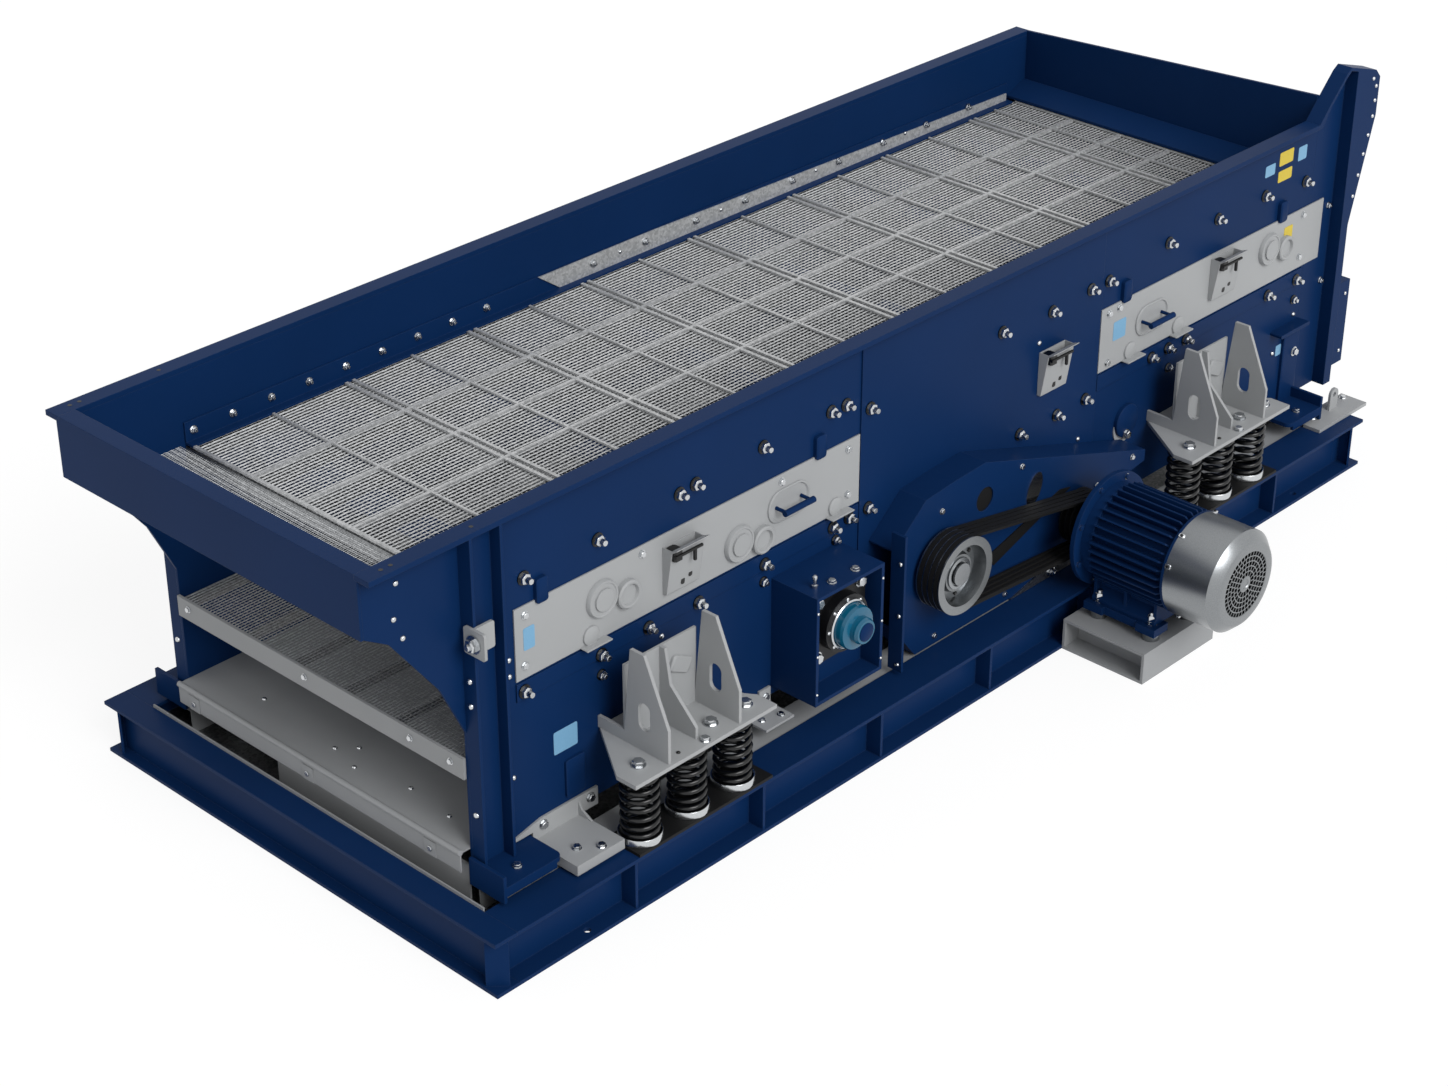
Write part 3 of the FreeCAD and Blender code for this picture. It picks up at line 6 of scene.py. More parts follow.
import bpy
import numpy as np
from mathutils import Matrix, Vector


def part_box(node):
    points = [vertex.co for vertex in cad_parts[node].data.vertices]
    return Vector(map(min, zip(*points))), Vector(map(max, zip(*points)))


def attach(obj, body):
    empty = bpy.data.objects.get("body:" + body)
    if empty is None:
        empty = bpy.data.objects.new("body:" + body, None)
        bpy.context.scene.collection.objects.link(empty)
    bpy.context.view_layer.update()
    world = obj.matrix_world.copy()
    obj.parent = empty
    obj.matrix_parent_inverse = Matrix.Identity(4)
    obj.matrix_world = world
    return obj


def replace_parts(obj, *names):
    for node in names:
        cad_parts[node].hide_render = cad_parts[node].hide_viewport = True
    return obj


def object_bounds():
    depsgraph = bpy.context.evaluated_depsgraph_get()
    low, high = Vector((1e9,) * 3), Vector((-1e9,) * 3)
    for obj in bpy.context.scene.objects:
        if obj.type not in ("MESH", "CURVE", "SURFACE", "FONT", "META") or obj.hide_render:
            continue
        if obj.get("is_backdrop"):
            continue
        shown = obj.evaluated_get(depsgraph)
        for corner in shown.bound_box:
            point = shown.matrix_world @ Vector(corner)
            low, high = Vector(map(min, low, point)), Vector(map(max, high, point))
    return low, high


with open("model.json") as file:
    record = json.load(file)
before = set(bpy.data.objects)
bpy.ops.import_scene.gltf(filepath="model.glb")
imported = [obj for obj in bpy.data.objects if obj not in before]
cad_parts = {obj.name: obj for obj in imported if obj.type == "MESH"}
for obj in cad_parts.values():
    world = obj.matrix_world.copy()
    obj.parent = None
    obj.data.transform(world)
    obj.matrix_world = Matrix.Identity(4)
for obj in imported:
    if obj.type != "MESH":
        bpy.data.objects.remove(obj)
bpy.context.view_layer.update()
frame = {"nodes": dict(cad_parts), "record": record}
seeded = np.random.default_rng(7585)

# Camera, light and stage, in metres and degrees
camera_place = (-7.482, -6.744, 5.988)
camera_turn = (60.30, 0.0, -46.52)
camera_lens = 71.47
lamp_turn = (54.0, -12.0, 0.0)
lamp_width = 35.0
lamp_power = 1.9
sky_level = 0.46
floor_drop = 0.0005
floor_reach = 40.0
floor_glow_share = 0.72
floor_glow = 1.17

# Planes of the machine that carry small pieces, in metres
plate_face = 0.774
lap_face = 0.780
rail_face = 0.754
strip_face = 0.748
guard_face = -0.905
motor_flange_back = -1.091
motor_end = -1.491
bracket_middles = (-1.633, 1.512)
bracket_top = 0.576
bracket_back = 0.902
drive_shaft = (-0.150, 0.570)
second_shaft = (-0.758, 0.610)
motor_axis = (0.680, 0.460)

# Wire cloth, in metres: pitch across the deck, pitch along it and the long wires' thickness
top_cloth = (0.0187, 0.0210, 0.0068)
second_cloth = (0.0156, 0.0190, 0.0052)
discharge_cloth = (0.0098, 0.0115, 0.0030)
# Shares of the long wires' thickness: the crimp's depth, the cross wires' thickness and drop, and the stray
# placing of each crossing
crimp = 0.06
cross_wire = 0.40
cross_drop = 0.40
stray = 0.05
# Gap between the highest wires and the top of the cloth's box
cloth_gap = 0.0005

# Coil springs, in metres, as the spring maker would give them
spring_outer_diameter = 0.145
spring_wire_diameter = 0.020
spring_active_turns = 6.5
spring_pitch_of_closed_turns = 1.06
spring_steps = 161
spring_wire_sides = 10

# Faces that meet at more than this angle, in degrees, keep a sharp edge between them
crease = 40

# Paint: waves a metre of its drift in shade, about 450 mm across, and of its dust, about 110 mm across
drift_scale = 2.2
dust_scale = 9.0
# Radius of a painted edge, in metres
edge_radius = 0.0035


# Small functions

def linear(colour):
    """Linear RGBA of an sRGB hex value such as '1E2F4D'."""
    parts = [int(colour[place:place + 2], 16) / 255 for place in (0, 2, 4)]
    return [part / 12.92 if part <= 0.04045 else ((part + 0.055) / 1.055) ** 2.4 for part in parts] + [1.0]


def add(tree, kind, settings=None, values=None, links=None):
    """Add one node: its settings, the constants on its sockets and the links into its sockets."""
    made = tree.nodes.new(kind)
    for name, value in (settings or {}).items():
        setattr(made, name, value)
    for socket, value in (values or {}).items():
        made.inputs[socket].default_value = value
    for socket, source in (links or {}).items():
        tree.links.new(source, made.inputs[socket])
    return made


def new_material(name, **sockets):
    """Material with a Principled shader whose sockets hold the given constants."""
    material = bpy.data.materials.new(name)
    material.use_nodes = True
    shader = material.node_tree.nodes["Principled BSDF"]
    for socket, value in sockets.items():
        shader.inputs[socket.replace("_", " ")].default_value = value
    return material, material.node_tree, shader


def object_place(tree):
    """Object coordinates, in metres from the machine's origin."""
    return add(tree, "ShaderNodeTexCoord").outputs["Object"]


def paint_film(name, low, high, dust_and_highlight, peel_mm, roughness, specular, dust_share):
    """Sprayed paint on steel: a slow drift between two shades, orange peel, painted edge highlights and fine
    dust.

    An edge is where the rounded normal leaves the face's own. The dust's share is the upward part of the
    normal times a noise.
    """
    material, tree, shader = new_material(name, Roughness=roughness)
    shader.inputs["Specular IOR Level"].default_value = specular
    place = object_place(tree)
    drift = add(tree, "ShaderNodeTexNoise", values={"Scale": drift_scale, "Detail": 4.0}, links={"Vector": place})
    shade = add(tree, "ShaderNodeMix", {"data_type": "RGBA"}, {6: linear(low), 7: linear(high)},
                {0: drift.outputs["Fac"]})
    geometry = add(tree, "ShaderNodeNewGeometry")
    rounded = add(tree, "ShaderNodeBevel", {"samples": 3}, {"Radius": edge_radius})
    bend = add(tree, "ShaderNodeVectorMath", {"operation": "DOT_PRODUCT"},
               links={0: geometry.outputs["Normal"], 1: rounded.outputs["Normal"]})
    # Painted highlight: edges turn up to 22 % towards the pale colour where the rounded normal bends away
    edge = add(tree, "ShaderNodeMapRange", {"clamp": True},
               {"From Min": 0.995, "From Max": 0.85, "To Min": 0.0, "To Max": 0.22},
               {"Value": bend.outputs["Value"]})
    highlit_edges = add(tree, "ShaderNodeMix", {"data_type": "RGBA"}, {7: linear(dust_and_highlight)},
               {0: edge.outputs["Result"], 6: shade.outputs[2]})
    upward = add(tree, "ShaderNodeSeparateXYZ", links={"Vector": geometry.outputs["Normal"]})
    settled = add(tree, "ShaderNodeTexNoise", values={"Scale": dust_scale, "Detail": 8.0, "Roughness": 0.7},
                  links={"Vector": place})
    share = add(tree, "ShaderNodeMath", {"operation": "MULTIPLY", "use_clamp": True},
                links={0: upward.outputs["Z"], 1: settled.outputs["Fac"]})
    share = add(tree, "ShaderNodeMath", {"operation": "MULTIPLY"}, {1: dust_share}, {0: share.outputs[0]})
    dusty = add(tree, "ShaderNodeMix", {"data_type": "RGBA"}, {7: linear(dust_and_highlight)},
                {0: share.outputs[0], 6: highlit_edges.outputs[2]})
    tree.links.new(dusty.outputs[2], shader.inputs["Base Color"])
    peel = add(tree, "ShaderNodeTexNoise", values={"Scale": 1000 / peel_mm, "Detail": 2.0},
               links={"Vector": place})
    bump = add(tree, "ShaderNodeBump", values={"Strength": 0.05, "Distance": 0.0006},
               links={"Height": peel.outputs["Fac"], "Normal": rounded.outputs["Normal"]})
    tree.links.new(bump.outputs["Normal"], shader.inputs["Normal"])
    return material


def zinc_coat(name, low, high, spangle_mm, roughness, bare):
    """Hot-dip galvanised steel: zinc crystals a few millimetres across, each with its own grey.

    bare is the share of the zinc that the film of stone dust leaves shining.
    """
    material, tree, shader = new_material(name, Metallic=bare, Roughness=roughness)
    place = object_place(tree)
    crystals = add(tree, "ShaderNodeTexVoronoi", values={"Scale": 1000 / spangle_mm}, links={"Vector": place})
    grey = add(tree, "ShaderNodeSeparateColor", links={"Color": crystals.outputs["Color"]})
    shade = add(tree, "ShaderNodeMix", {"data_type": "RGBA"}, {6: linear(low), 7: linear(high)},
                {0: grey.outputs["Red"]})
    tree.links.new(shade.outputs[2], shader.inputs["Base Color"])
    bump = add(tree, "ShaderNodeBump", values={"Strength": 0.12, "Distance": 0.0005},
               links={"Height": crystals.outputs["Distance"]})
    tree.links.new(bump.outputs["Normal"], shader.inputs["Normal"])
    return material


def grained_skin(name, low, high, grain_mm, roughness, specular, strength):
    """Skin with the grain of its mould or casting, drifting between two shades."""
    material, tree, shader = new_material(name, Roughness=roughness)
    shader.inputs["Specular IOR Level"].default_value = specular
    place = object_place(tree)
    grain = add(tree, "ShaderNodeTexNoise", values={"Scale": 1000 / grain_mm, "Detail": 5.0},
                links={"Vector": place})
    shade = add(tree, "ShaderNodeMix", {"data_type": "RGBA"}, {6: linear(low), 7: linear(high)},
                {0: grain.outputs["Fac"]})
    tree.links.new(shade.outputs[2], shader.inputs["Base Color"])
    bump = add(tree, "ShaderNodeBump", values={"Strength": strength, "Distance": 0.001},
               links={"Height": grain.outputs["Fac"]})
    tree.links.new(bump.outputs["Normal"], shader.inputs["Normal"])
    return material


def machined_metal(name, low, high, roughness, mark_mm):
    """Bare metal with fine tool marks, as streaks that drift between two greys."""
    material, tree, shader = new_material(name, Metallic=1.0, Roughness=roughness)
    place = object_place(tree)
    marks = add(tree, "ShaderNodeTexNoise", values={"Scale": 1000 / mark_mm, "Detail": 4.0},
                links={"Vector": place})
    shade = add(tree, "ShaderNodeMix", {"data_type": "RGBA"}, {6: linear(low), 7: linear(high)},
                {0: marks.outputs["Fac"]})
    tree.links.new(shade.outputs[2], shader.inputs["Base Color"])
    bump = add(tree, "ShaderNodeBump", values={"Strength": 0.08, "Distance": 0.0004},
               links={"Height": marks.outputs["Fac"]})
    tree.links.new(bump.outputs["Normal"], shader.inputs["Normal"])
    return material


# Materials. Peel, grain, crystals and tool marks are finer than this on the real one, and are drawn coarser
# so that they show in a picture of the whole machine.

# Each paint's third colour is both its dust and the painted highlight on its edges
# Two-pack polyurethane enamel sprayed on shot-blasted plate: deep navy, semi-gloss, soft pale reflections
navy_enamel = paint_film("navy_enamel", "0C2850", "0F2E5B", "4C618A", 5.0, 0.38, 0.045, 0.03)
# The same enamel in light grey on the cover strips and spring brackets: flat and clean
grey_enamel = paint_film("light_grey_enamel", "A0A2A4", "ACAEAF", "D0D1D2", 5.0, 0.45, 0.25, 0.05)
# Grey enamel a step darker as painted shade, and duller: on the pan, chute, lower deck's lip and the motor's base
grey_enamel_painted_shade = paint_film("grey_enamel_painted_shade", "949698", "A5A7A9", "BCBEBF", 6.0, 0.50, 0.25, 0.05)
# Zinc on rolled bar and sheet: mid grey crystals with a satin shine
galvanised_steel = zinc_coat("galvanised_steel", "6E7072", "96989A", 9.0, 0.45, 1.0)
# Zinc on drawn wire and flat bar, the palest grey on the machine: pale zinc with painted light, for the top deck
galvanised_wire = zinc_coat("galvanised_wire", "A8AAAB", "D0D1D2", 9.0, 0.38, 0.35)
# Zinc on the fine wire of the lower and the discharge cloth: a step darker as painted shade, and duller
fine_wire_painted_shade = zinc_coat("fine_wire_painted_shade", "929496", "B8BABC", 9.0, 0.45, 0.55)
# Black enamel baked on coiled spring steel: glossy, with bright lines along the wire
spring_steel = grained_skin("black_enamelled_spring_steel", "050607", "101113", 4.0, 0.24, 0.45, 0.04)
# Moulded rubber of belts, pads and plugs: matt black with a fine grain
black_rubber = grained_skin("moulded_rubber", "090909", "181819", 1.6, 0.62, 0.20, 0.20)
# Black paint on sand-cast iron: rougher, with soft spots of light
cast_iron = grained_skin("black_painted_cast_iron", "08090B", "17181B", 3.0, 0.42, 0.30, 0.25)
# Turned metal of the pulleys and the spun cowl: mid grey with broad bright bands
turned_aluminium = machined_metal("turned_aluminium", "74777A", "A0A3A5", 0.29, 3.0)
# Ground shaft steel: finer marks and a sharper shine
ground_steel = machined_metal("ground_steel", "85888B", "ABAEB1", 0.26, 2.0)
# Electro-plated zinc on bolts and washers: bright, nearly white
zinc_plate = machined_metal("bright_zinc_plate", "B4B7BA", "D6D8DA", 0.24, 4.0)
# Black-oxide finish on washers, pins and set screws: dark brown-grey with an oily shine
black_oxide = machined_metal("black_oxide_steel", "2A2A2B", "474747", 0.36, 3.0)
# Moulded teal plastic of the bearing caps: smooth and glossy
teal_plastic = grained_skin("moulded_teal_plastic", "0D5674", "116687", 2.0, 0.18, 0.50, 0.03)
# Plain coloured plates of thin plastic sheet, matt and without relief
blue_plate = grained_skin("plain_blue_plastic_sheet", "6FA3C8", "84B4D4", 3.0, 0.40, 0.35, 0.03)
yellow_plate = grained_skin("plain_yellow_plastic_sheet", "CDB32E", "DBC443", 3.0, 0.40, 0.35, 0.03)

slot_material = {
    "navy": navy_enamel, "grey_paint": grey_enamel, "galvanised": galvanised_steel,
    "black_steel": spring_steel, "rubber": black_rubber, "machined": turned_aluminium,
    "cap_teal": teal_plastic, "black_iron": cast_iron, "shaft": ground_steel,
}
# Pieces given the pale zinc with painted light, and the grey enamel with painted shade
node_material = {
    "hold_down_bars": galvanised_wire, "deck_edge_strips": galvanised_wire, "fines_pan": grey_enamel_painted_shade,
    "chute_skirts": grey_enamel_painted_shade, "motor_base": grey_enamel_painted_shade, "second_deck_lip": grey_enamel_painted_shade,
}
for subpart in frame["record"]["subparts"]:
    skin = frame["nodes"][subpart["node"]]
    skin.data.materials.clear()
    skin.data.materials.append(node_material.get(subpart["node"], slot_material[subpart["material_slot"]]))


# Surfaces

def surface(name, points, quads, material, slot, smooth=True, body="screen"):
    """Mesh object from arrays of points (n, 3) and quads (m, 4), riding on a body."""
    mesh = bpy.data.meshes.new(name)
    mesh.vertices.add(len(points))
    mesh.vertices.foreach_set("co", np.ascontiguousarray(points, dtype=np.float32).ravel())
    mesh.loops.add(quads.size)
    mesh.loops.foreach_set("vertex_index", quads.astype(np.int32).ravel())
    mesh.polygons.add(len(quads))
    mesh.polygons.foreach_set("loop_start", np.arange(0, quads.size, 4, dtype=np.int32))
    mesh.update(calc_edges=True)
    mesh.validate()
    mesh.polygons.foreach_set("use_smooth", np.full(len(mesh.polygons), smooth))
    if smooth:
        mesh.set_sharp_from_angle(angle=math.radians(crease))
    mesh.materials.append(material)
    made = bpy.data.objects.new(name, mesh)
    bpy.context.scene.collection.objects.link(made)
    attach(made, body)
    return made


def tube_quads(rows, sides, closed=False):
    """Quads of a tube of rows by sides points: row i joins row i + 1, side j joins side j + 1 around."""
    last = rows if closed else rows - 1
    row, side = np.meshgrid(np.arange(last), np.arange(sides), indexing="ij")
    after = (row + 1) % rows
    beside = (side + 1) % sides
    return np.stack([row * sides + side, row * sides + beside, after * sides + beside, after * sides + side],
                    axis=-1).reshape(-1, 4)


def cap_quads(sides):
    """Quads that fill a convex outline of an even number of corners, from its first corner to its last."""
    step = np.arange(sides // 2 - 1)
    return np.stack([step, step + 1, sides - 2 - step, sides - 1 - step], axis=-1)


def many(points, quads):
    """Points (n, k, 3) of n copies of one shape of k points, and its quads repeated for each copy."""
    copies, count = points.shape[:2]
    shift = np.arange(copies)[:, None, None] * count
    return points.reshape(-1, 3), (quads[None] + shift).reshape(-1, 4)


def together(*parts):
    """One pair of points and quads from several pairs."""
    points, quads, count = [], [], 0
    for some, faces in parts:
        points.append(some)
        quads.append(faces + count)
        count += len(some)
    return np.concatenate(points), np.concatenate(quads)


def circle(sides):
    """Corners of a circle of radius 1: the cosine and sine of equal steps. Six make a nut's hexagon."""
    angle = 2 * np.pi * np.arange(sides) / sides
    return np.stack([np.cos(angle), np.sin(angle)], axis=-1)


def rounded(width, height, radius, steps=3):
    """Rectangle with round corners: quarter circles of a few steps about four corner centres."""
    quarter = np.linspace(0, np.pi / 2, steps + 1)
    corners = []
    for turn, (side_x, side_z) in enumerate(((1, 1), (-1, 1), (-1, -1), (1, -1))):
        angle = quarter + turn * np.pi / 2
        corners.append(np.stack([side_x * (width / 2 - radius) + radius * np.cos(angle),
                                 side_z * (height / 2 - radius) + radius * np.sin(angle)], axis=-1))
    return np.concatenate(corners)


def stacked(outline, places, normal, profile, turns=None, closed=False):
    """Copies of one shape: an outline repeated in rows along a normal, scaled row by row.

    A corner lies at place + height * normal + size * (across * u + up * v), where u is level and v is square
    to it, and the outline is first turned by the copy's own angle. The profile lists (size, height) for each
    row. Both ends are capped flat, or the last row joins the first when the profile is a closed loop.
    """
    normal = np.array(normal, dtype=float)
    level = np.array([1.0, 0, 0]) if abs(normal[2]) > 0.9 else np.cross([0, 0, 1.0], normal)
    level = level / np.linalg.norm(level)
    upward = np.cross(normal, level)
    places = np.array(places, dtype=float).reshape(-1, 3)
    turns = np.zeros(len(places)) if turns is None else np.array(turns, dtype=float)
    cosine, sine = np.cos(turns)[:, None], np.sin(turns)[:, None]
    across = outline[None, :, 0] * cosine - outline[None, :, 1] * sine
    up = outline[None, :, 0] * sine + outline[None, :, 1] * cosine
    size, height = np.array(profile, dtype=float).T
    points = places[:, None, None] + height[None, :, None, None] * normal
    points = points + (size[None, :, None] * across[:, None])[..., None] * level
    points = points + (size[None, :, None] * up[:, None])[..., None] * upward
    rows, sides = len(profile), len(outline)
    quads = [tube_quads(rows, sides, closed)]
    if not closed:
        quads += [cap_quads(sides)[:, ::-1], cap_quads(sides) + (rows - 1) * sides]
    return many(points.reshape(len(places), rows * sides, 3), np.concatenate(quads))


def wires_along(axis, centres, heights, length_at, radius, sides):
    """Parallel wires: each is a polygon section swept along one axis through given side places and heights.

    centres and heights hold each wire's place across and its height (n, k), length_at the places along (k).
    A corner at angle a lies radius * cos(a) across and radius * sin(a) up from the centre line.
    """
    angle = 2 * np.pi * np.arange(sides) / sides
    across = centres[:, :, None] + radius * np.cos(angle)[None, None, :]
    up = heights[:, :, None] + radius * np.sin(angle)[None, None, :]
    along = np.broadcast_to(length_at[None, :, None], up.shape)
    order = (along, across, up) if axis == 0 else (across, along, up)
    points = np.stack(order, axis=-1).reshape(len(centres), -1, 3)
    caps = [cap_quads(sides)[:, ::-1], cap_quads(sides) + (len(length_at) - 1) * sides]
    quads = np.concatenate([tube_quads(len(length_at), sides)] + caps)
    if axis == 1:
        quads = quads[:, ::-1]
    return many(points, quads)


def woven_cloth(name, node, sizes, zigzag, material):
    """Wire cloth in a node's box: crimped long wires rise and fall over straight cross wires.

    A long wire lies at the top where the sum of its own number and the crossing's is even, and twice the
    crimp below it where the sum is odd. Its place across swings by the zigzag, to one side at even crossings
    and to the other at odd ones.
    """
    pitch_across, pitch_along, wire = sizes
    low, high = (np.array(corner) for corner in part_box(node))
    crossings = np.arange(low[0] + wire, high[0] - wire / 2, pitch_along)
    starts = np.arange(low[1] + wire, high[1] - wire / 2, pitch_across)
    top = high[2] - wire / 2 - cloth_gap
    parity = (-1.0) ** (np.arange(len(starts))[:, None] + np.arange(len(crossings))[None, :])
    swing = zigzag * (-1.0) ** np.arange(len(crossings))[None, :]
    drift = seeded.normal(0, wire * stray, (len(starts), len(crossings)))
    heights = top - wire * crimp * (1 - parity)
    long_wires = wires_along(0, starts[:, None] + swing + drift, heights, crossings, wire / 2, 4)
    flat = np.full((len(crossings), 2), top - wire * cross_drop)
    places = np.repeat(crossings[:, None], 2, axis=1)
    ends = np.array([starts[0], starts[-1]])
    cross_wires = wires_along(1, places, flat, ends, wire * cross_wire / 2, 4)
    points, quads = together(long_wires, cross_wires)
    made = surface(name, points, quads, material, "galvanised", smooth=False)
    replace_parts(made, node)


woven_cloth("woven_top_cloth", "top_deck_cloth", top_cloth, 0.0, galvanised_wire)
woven_cloth("woven_second_cloth", "second_deck_cloth", second_cloth, 0.0, fine_wire_painted_shade)
woven_cloth("woven_discharge_cloth", "discharge_cloth", discharge_cloth, 0.0016, fine_wire_painted_shade)


def coil_points(x, y, low, high):
    """Round wire along a helix whose first and last turns lie closed.

    The height rises by the closed pitch over the first and last turn, and evenly over the turns between. The
    section is a circle in the upright plane through the coil's axis: half the wire times the cosine of its
    angle outwards, and times the sine upwards.
    """
    wire = spring_wire_diameter
    mean = (spring_outer_diameter - wire) / 2
    closed_rise = wire * spring_pitch_of_closed_turns
    active_rise = high - low - wire - 2 * closed_rise
    turn = np.linspace(0, spring_active_turns + 2, spring_steps)
    height = np.clip(turn, 0, 1) * closed_rise
    height = height + np.clip(turn - 1, 0, spring_active_turns) * active_rise / spring_active_turns
    height = height + np.clip(turn - 1 - spring_active_turns, 0, 1) * closed_rise
    angle = 2 * np.pi * turn
    sides = spring_wire_sides
    section = 2 * np.pi * np.arange(sides) / sides
    radius = mean + wire / 2 * np.cos(section)[None, :]
    z = low + wire / 2 + height[:, None] + wire / 2 * np.sin(section)[None, :]
    points = np.stack([x + radius * np.cos(angle)[:, None], y + radius * np.sin(angle)[:, None], z], axis=-1)
    last_row = (spring_steps - 1) * sides
    quads = np.concatenate([tube_quads(spring_steps, sides), cap_quads(sides)[:, ::-1],
                            cap_quads(sides) + last_row])
    return points.reshape(-1, 3), quads[:, ::-1]


def spring_places(node):
    """Axes of a bracket's three springs, from the node's box."""
    low, high = (np.array(corner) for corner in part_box(node))
    y = (low[1] + high[1]) / 2
    places = np.linspace(low[0] + spring_outer_diameter / 2, high[0] - spring_outer_diameter / 2, 3)
    return [(x, y) for x in places], low[2], high[2]


collars = []
for side in ("drive", "far"):
    for end in ("discharge", "feed"):
        node = "springs_" + side + "_" + end
        places, low, high = spring_places(node)
        points, quads = together(*[coil_points(x, y, low, high) for x, y in places])
        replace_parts(surface("coil_" + node, points, quads, spring_steel, "black_steel"), node)
        # Pressed ring that centres the lowest turn: a thin wall with a rolled top
        collars.append(stacked(circle(28), [(x, y, low) for x, y in places], (0, 0, 1),
                               [(0.0800, -0.013), (0.0800, 0.012), (0.0785, 0.0145), (0.0755, 0.0145),
                                (0.0745, 0.012), (0.0745, -0.013)], closed=True))
surface("spring_collars", *together(*collars), zinc_plate, "machined")


# Fasteners

fasteners = {"bright": [], "dark": [], "navy": []}


def side_depth(x, z):
    """Distance of a side's outer face from the middle plane: on a panel, a cover or a rail, or bare."""
    on_panel = (x > -0.475) & (x < 0.955) & (z > 0.42) & (z < 1.56)
    beside = ((x > -2.18) & (x < -0.48)) | ((x > 0.96) & (x < 2.405))
    on_strip = beside & (((z > 0.846) & (z < 0.915)) | ((z > 0.925) & (z < 1.2)))
    return np.where(on_panel | on_strip, lap_face, plate_face)


def sides_of(pairs, depth=None):
    """Both sides' places and normals for (x, z) pairs, on the side plates or at a given depth."""
    x, z = np.array(pairs, dtype=float).T
    depth = side_depth(x, z) if depth is None else np.full(len(x), depth)
    return [(np.stack([x, side * depth, z], axis=-1), (0, side, 0)) for side in (-1, 1)]


def level_of(pairs, height):
    """Both sides' places on a level face for (x, distance from the middle) pairs."""
    return [(np.array([(x, side * y, height) for x, y in pairs]), (0, 0, 1)) for side in (-1, 1)]


def nut_and_end(groups, size, washer="dark", proud=2.1):
    """Washer, hex nut and the bolt's round end on each place; size is the bolt's diameter."""
    for places, normal in groups:
        turns = seeded.uniform(0, 2 * np.pi, len(places))
        fasteners[washer].append(stacked(circle(12), places, normal,
                                         [(1.3 * size, -0.003), (1.3 * size, 0.22 * size)], turns))
        fasteners["bright"].append(stacked(circle(6), places, normal, [(1.04 * size, 0.1 * size),
                                           (1.04 * size, 0.95 * size), (0.86 * size, 1.08 * size)], turns))
        fasteners["bright"].append(stacked(circle(8), places, normal,
                                           [(0.58 * size, size), (0.58 * size, (proud - 0.12) * size),
                                            (0.5 * size, proud * size)], turns))


def hex_head(groups, size, tone="bright"):
    """Washer and hex bolt head with a bevelled top on each place."""
    for places, normal in groups:
        turns = seeded.uniform(0, 2 * np.pi, len(places))
        fasteners["bright"].append(stacked(circle(12), places, normal,
                                           [(1.2 * size, -0.003), (1.2 * size, 0.18 * size)], turns))
        fasteners[tone].append(stacked(circle(6), places, normal, [(1.0 * size, 0.1 * size),
                                       (1.0 * size, 0.78 * size), (0.84 * size, 0.9 * size)], turns))


def dome_head(groups, radius, tone="bright"):
    """Low round screw head on each place."""
    for places, normal in groups:
        fasteners[tone].append(stacked(circle(8), places, normal, [(radius, -0.002), (radius, 0.25 * radius),
                                       (0.72 * radius, 0.6 * radius), (0.35 * radius, 0.75 * radius)]))


# Bolts of the cross tubes and deck carriers, through both side plates
plate_bolts = [(-2.129, 1.301), (-1.795, 1.305), (-1.408, 1.323), (-1.330, 1.331), (-0.991, 1.343),
               (-0.637, 1.348), (-0.556, 1.346), (-0.429, 1.287), (0.210, 0.841), (0.325, 1.328),
               (0.631, 1.310), (0.875, 1.321), (0.998, 1.315), (1.390, 1.351), (1.727, 1.349),
               (2.063, 1.347), (2.365, 1.321)]
rail_bolts = [(-2.148, 0.879), (-1.795, 0.861), (-1.570, 0.869), (-1.324, 0.862), (-0.986, 0.873),
              (-0.623, 0.875), (-0.536, 0.881), (-0.429, 0.878), (0.464, 0.844), (0.697, 0.841),
              (0.880, 0.844), (1.321, 0.870), (1.433, 0.873), (1.557, 0.870), (2.146, 0.870),
              (2.360, 0.872)]
low_bolts = [(-1.792, 0.778), (-0.985, 0.798), (-0.600, 0.811), (1.456, 0.775), (2.366, 0.775),
             (-0.519, 0.690)]
nut_and_end(sides_of(plate_bolts + rail_bolts), 0.020)
nut_and_end(sides_of(low_bolts), 0.016, proud=1.7)
# Bolts of the grey strips, and round-headed screws of the plates, the middle panel and the cheeks
strip_bolts = [(-2.134, 1.165), (-2.141, 0.975), (-1.595, 1.169), (-0.900, 1.172), (-0.545, 1.165),
               (-0.545, 0.980), (1.008, 1.172), (1.075, 1.175), (1.016, 0.955), (2.366, 1.170),
               (2.366, 0.977)]
side_screws = [(-2.206, 1.021), (-2.206, 0.958), (-2.206, 0.560), (-1.500, 0.800), (-0.700, 0.760),
               (-0.620, 0.560), (0.663, 0.701), (0.853, 0.674), (0.560, 1.200), (2.243, 0.560),
               (2.380, 0.700), (-2.672, 1.382), (-2.655, 1.505), (-2.640, 1.300)]
hex_head(sides_of(strip_bolts), 0.013)
dome_head(sides_of(side_screws), 0.011)

# Clamp rails: bolts through the rail's upright, then through the bright strip
for side in (-1, 1):
    inward = (0, -side, 0)
    rail_places = np.array([(-2.275 + 0.173 * step, side * rail_face, 1.349) for step in range(9)])
    strip_places = np.array([(-0.33 + 0.29 * step, side * strip_face, 1.352) for step in range(9)])
    screw_places = np.array([(-0.18 + 0.58 * step, side * strip_face, 1.352) for step in range(4)])
    nut_and_end([(rail_places, inward), (strip_places, inward)], 0.012, "bright", 1.7)
    dome_head([(screw_places, inward)], 0.008)

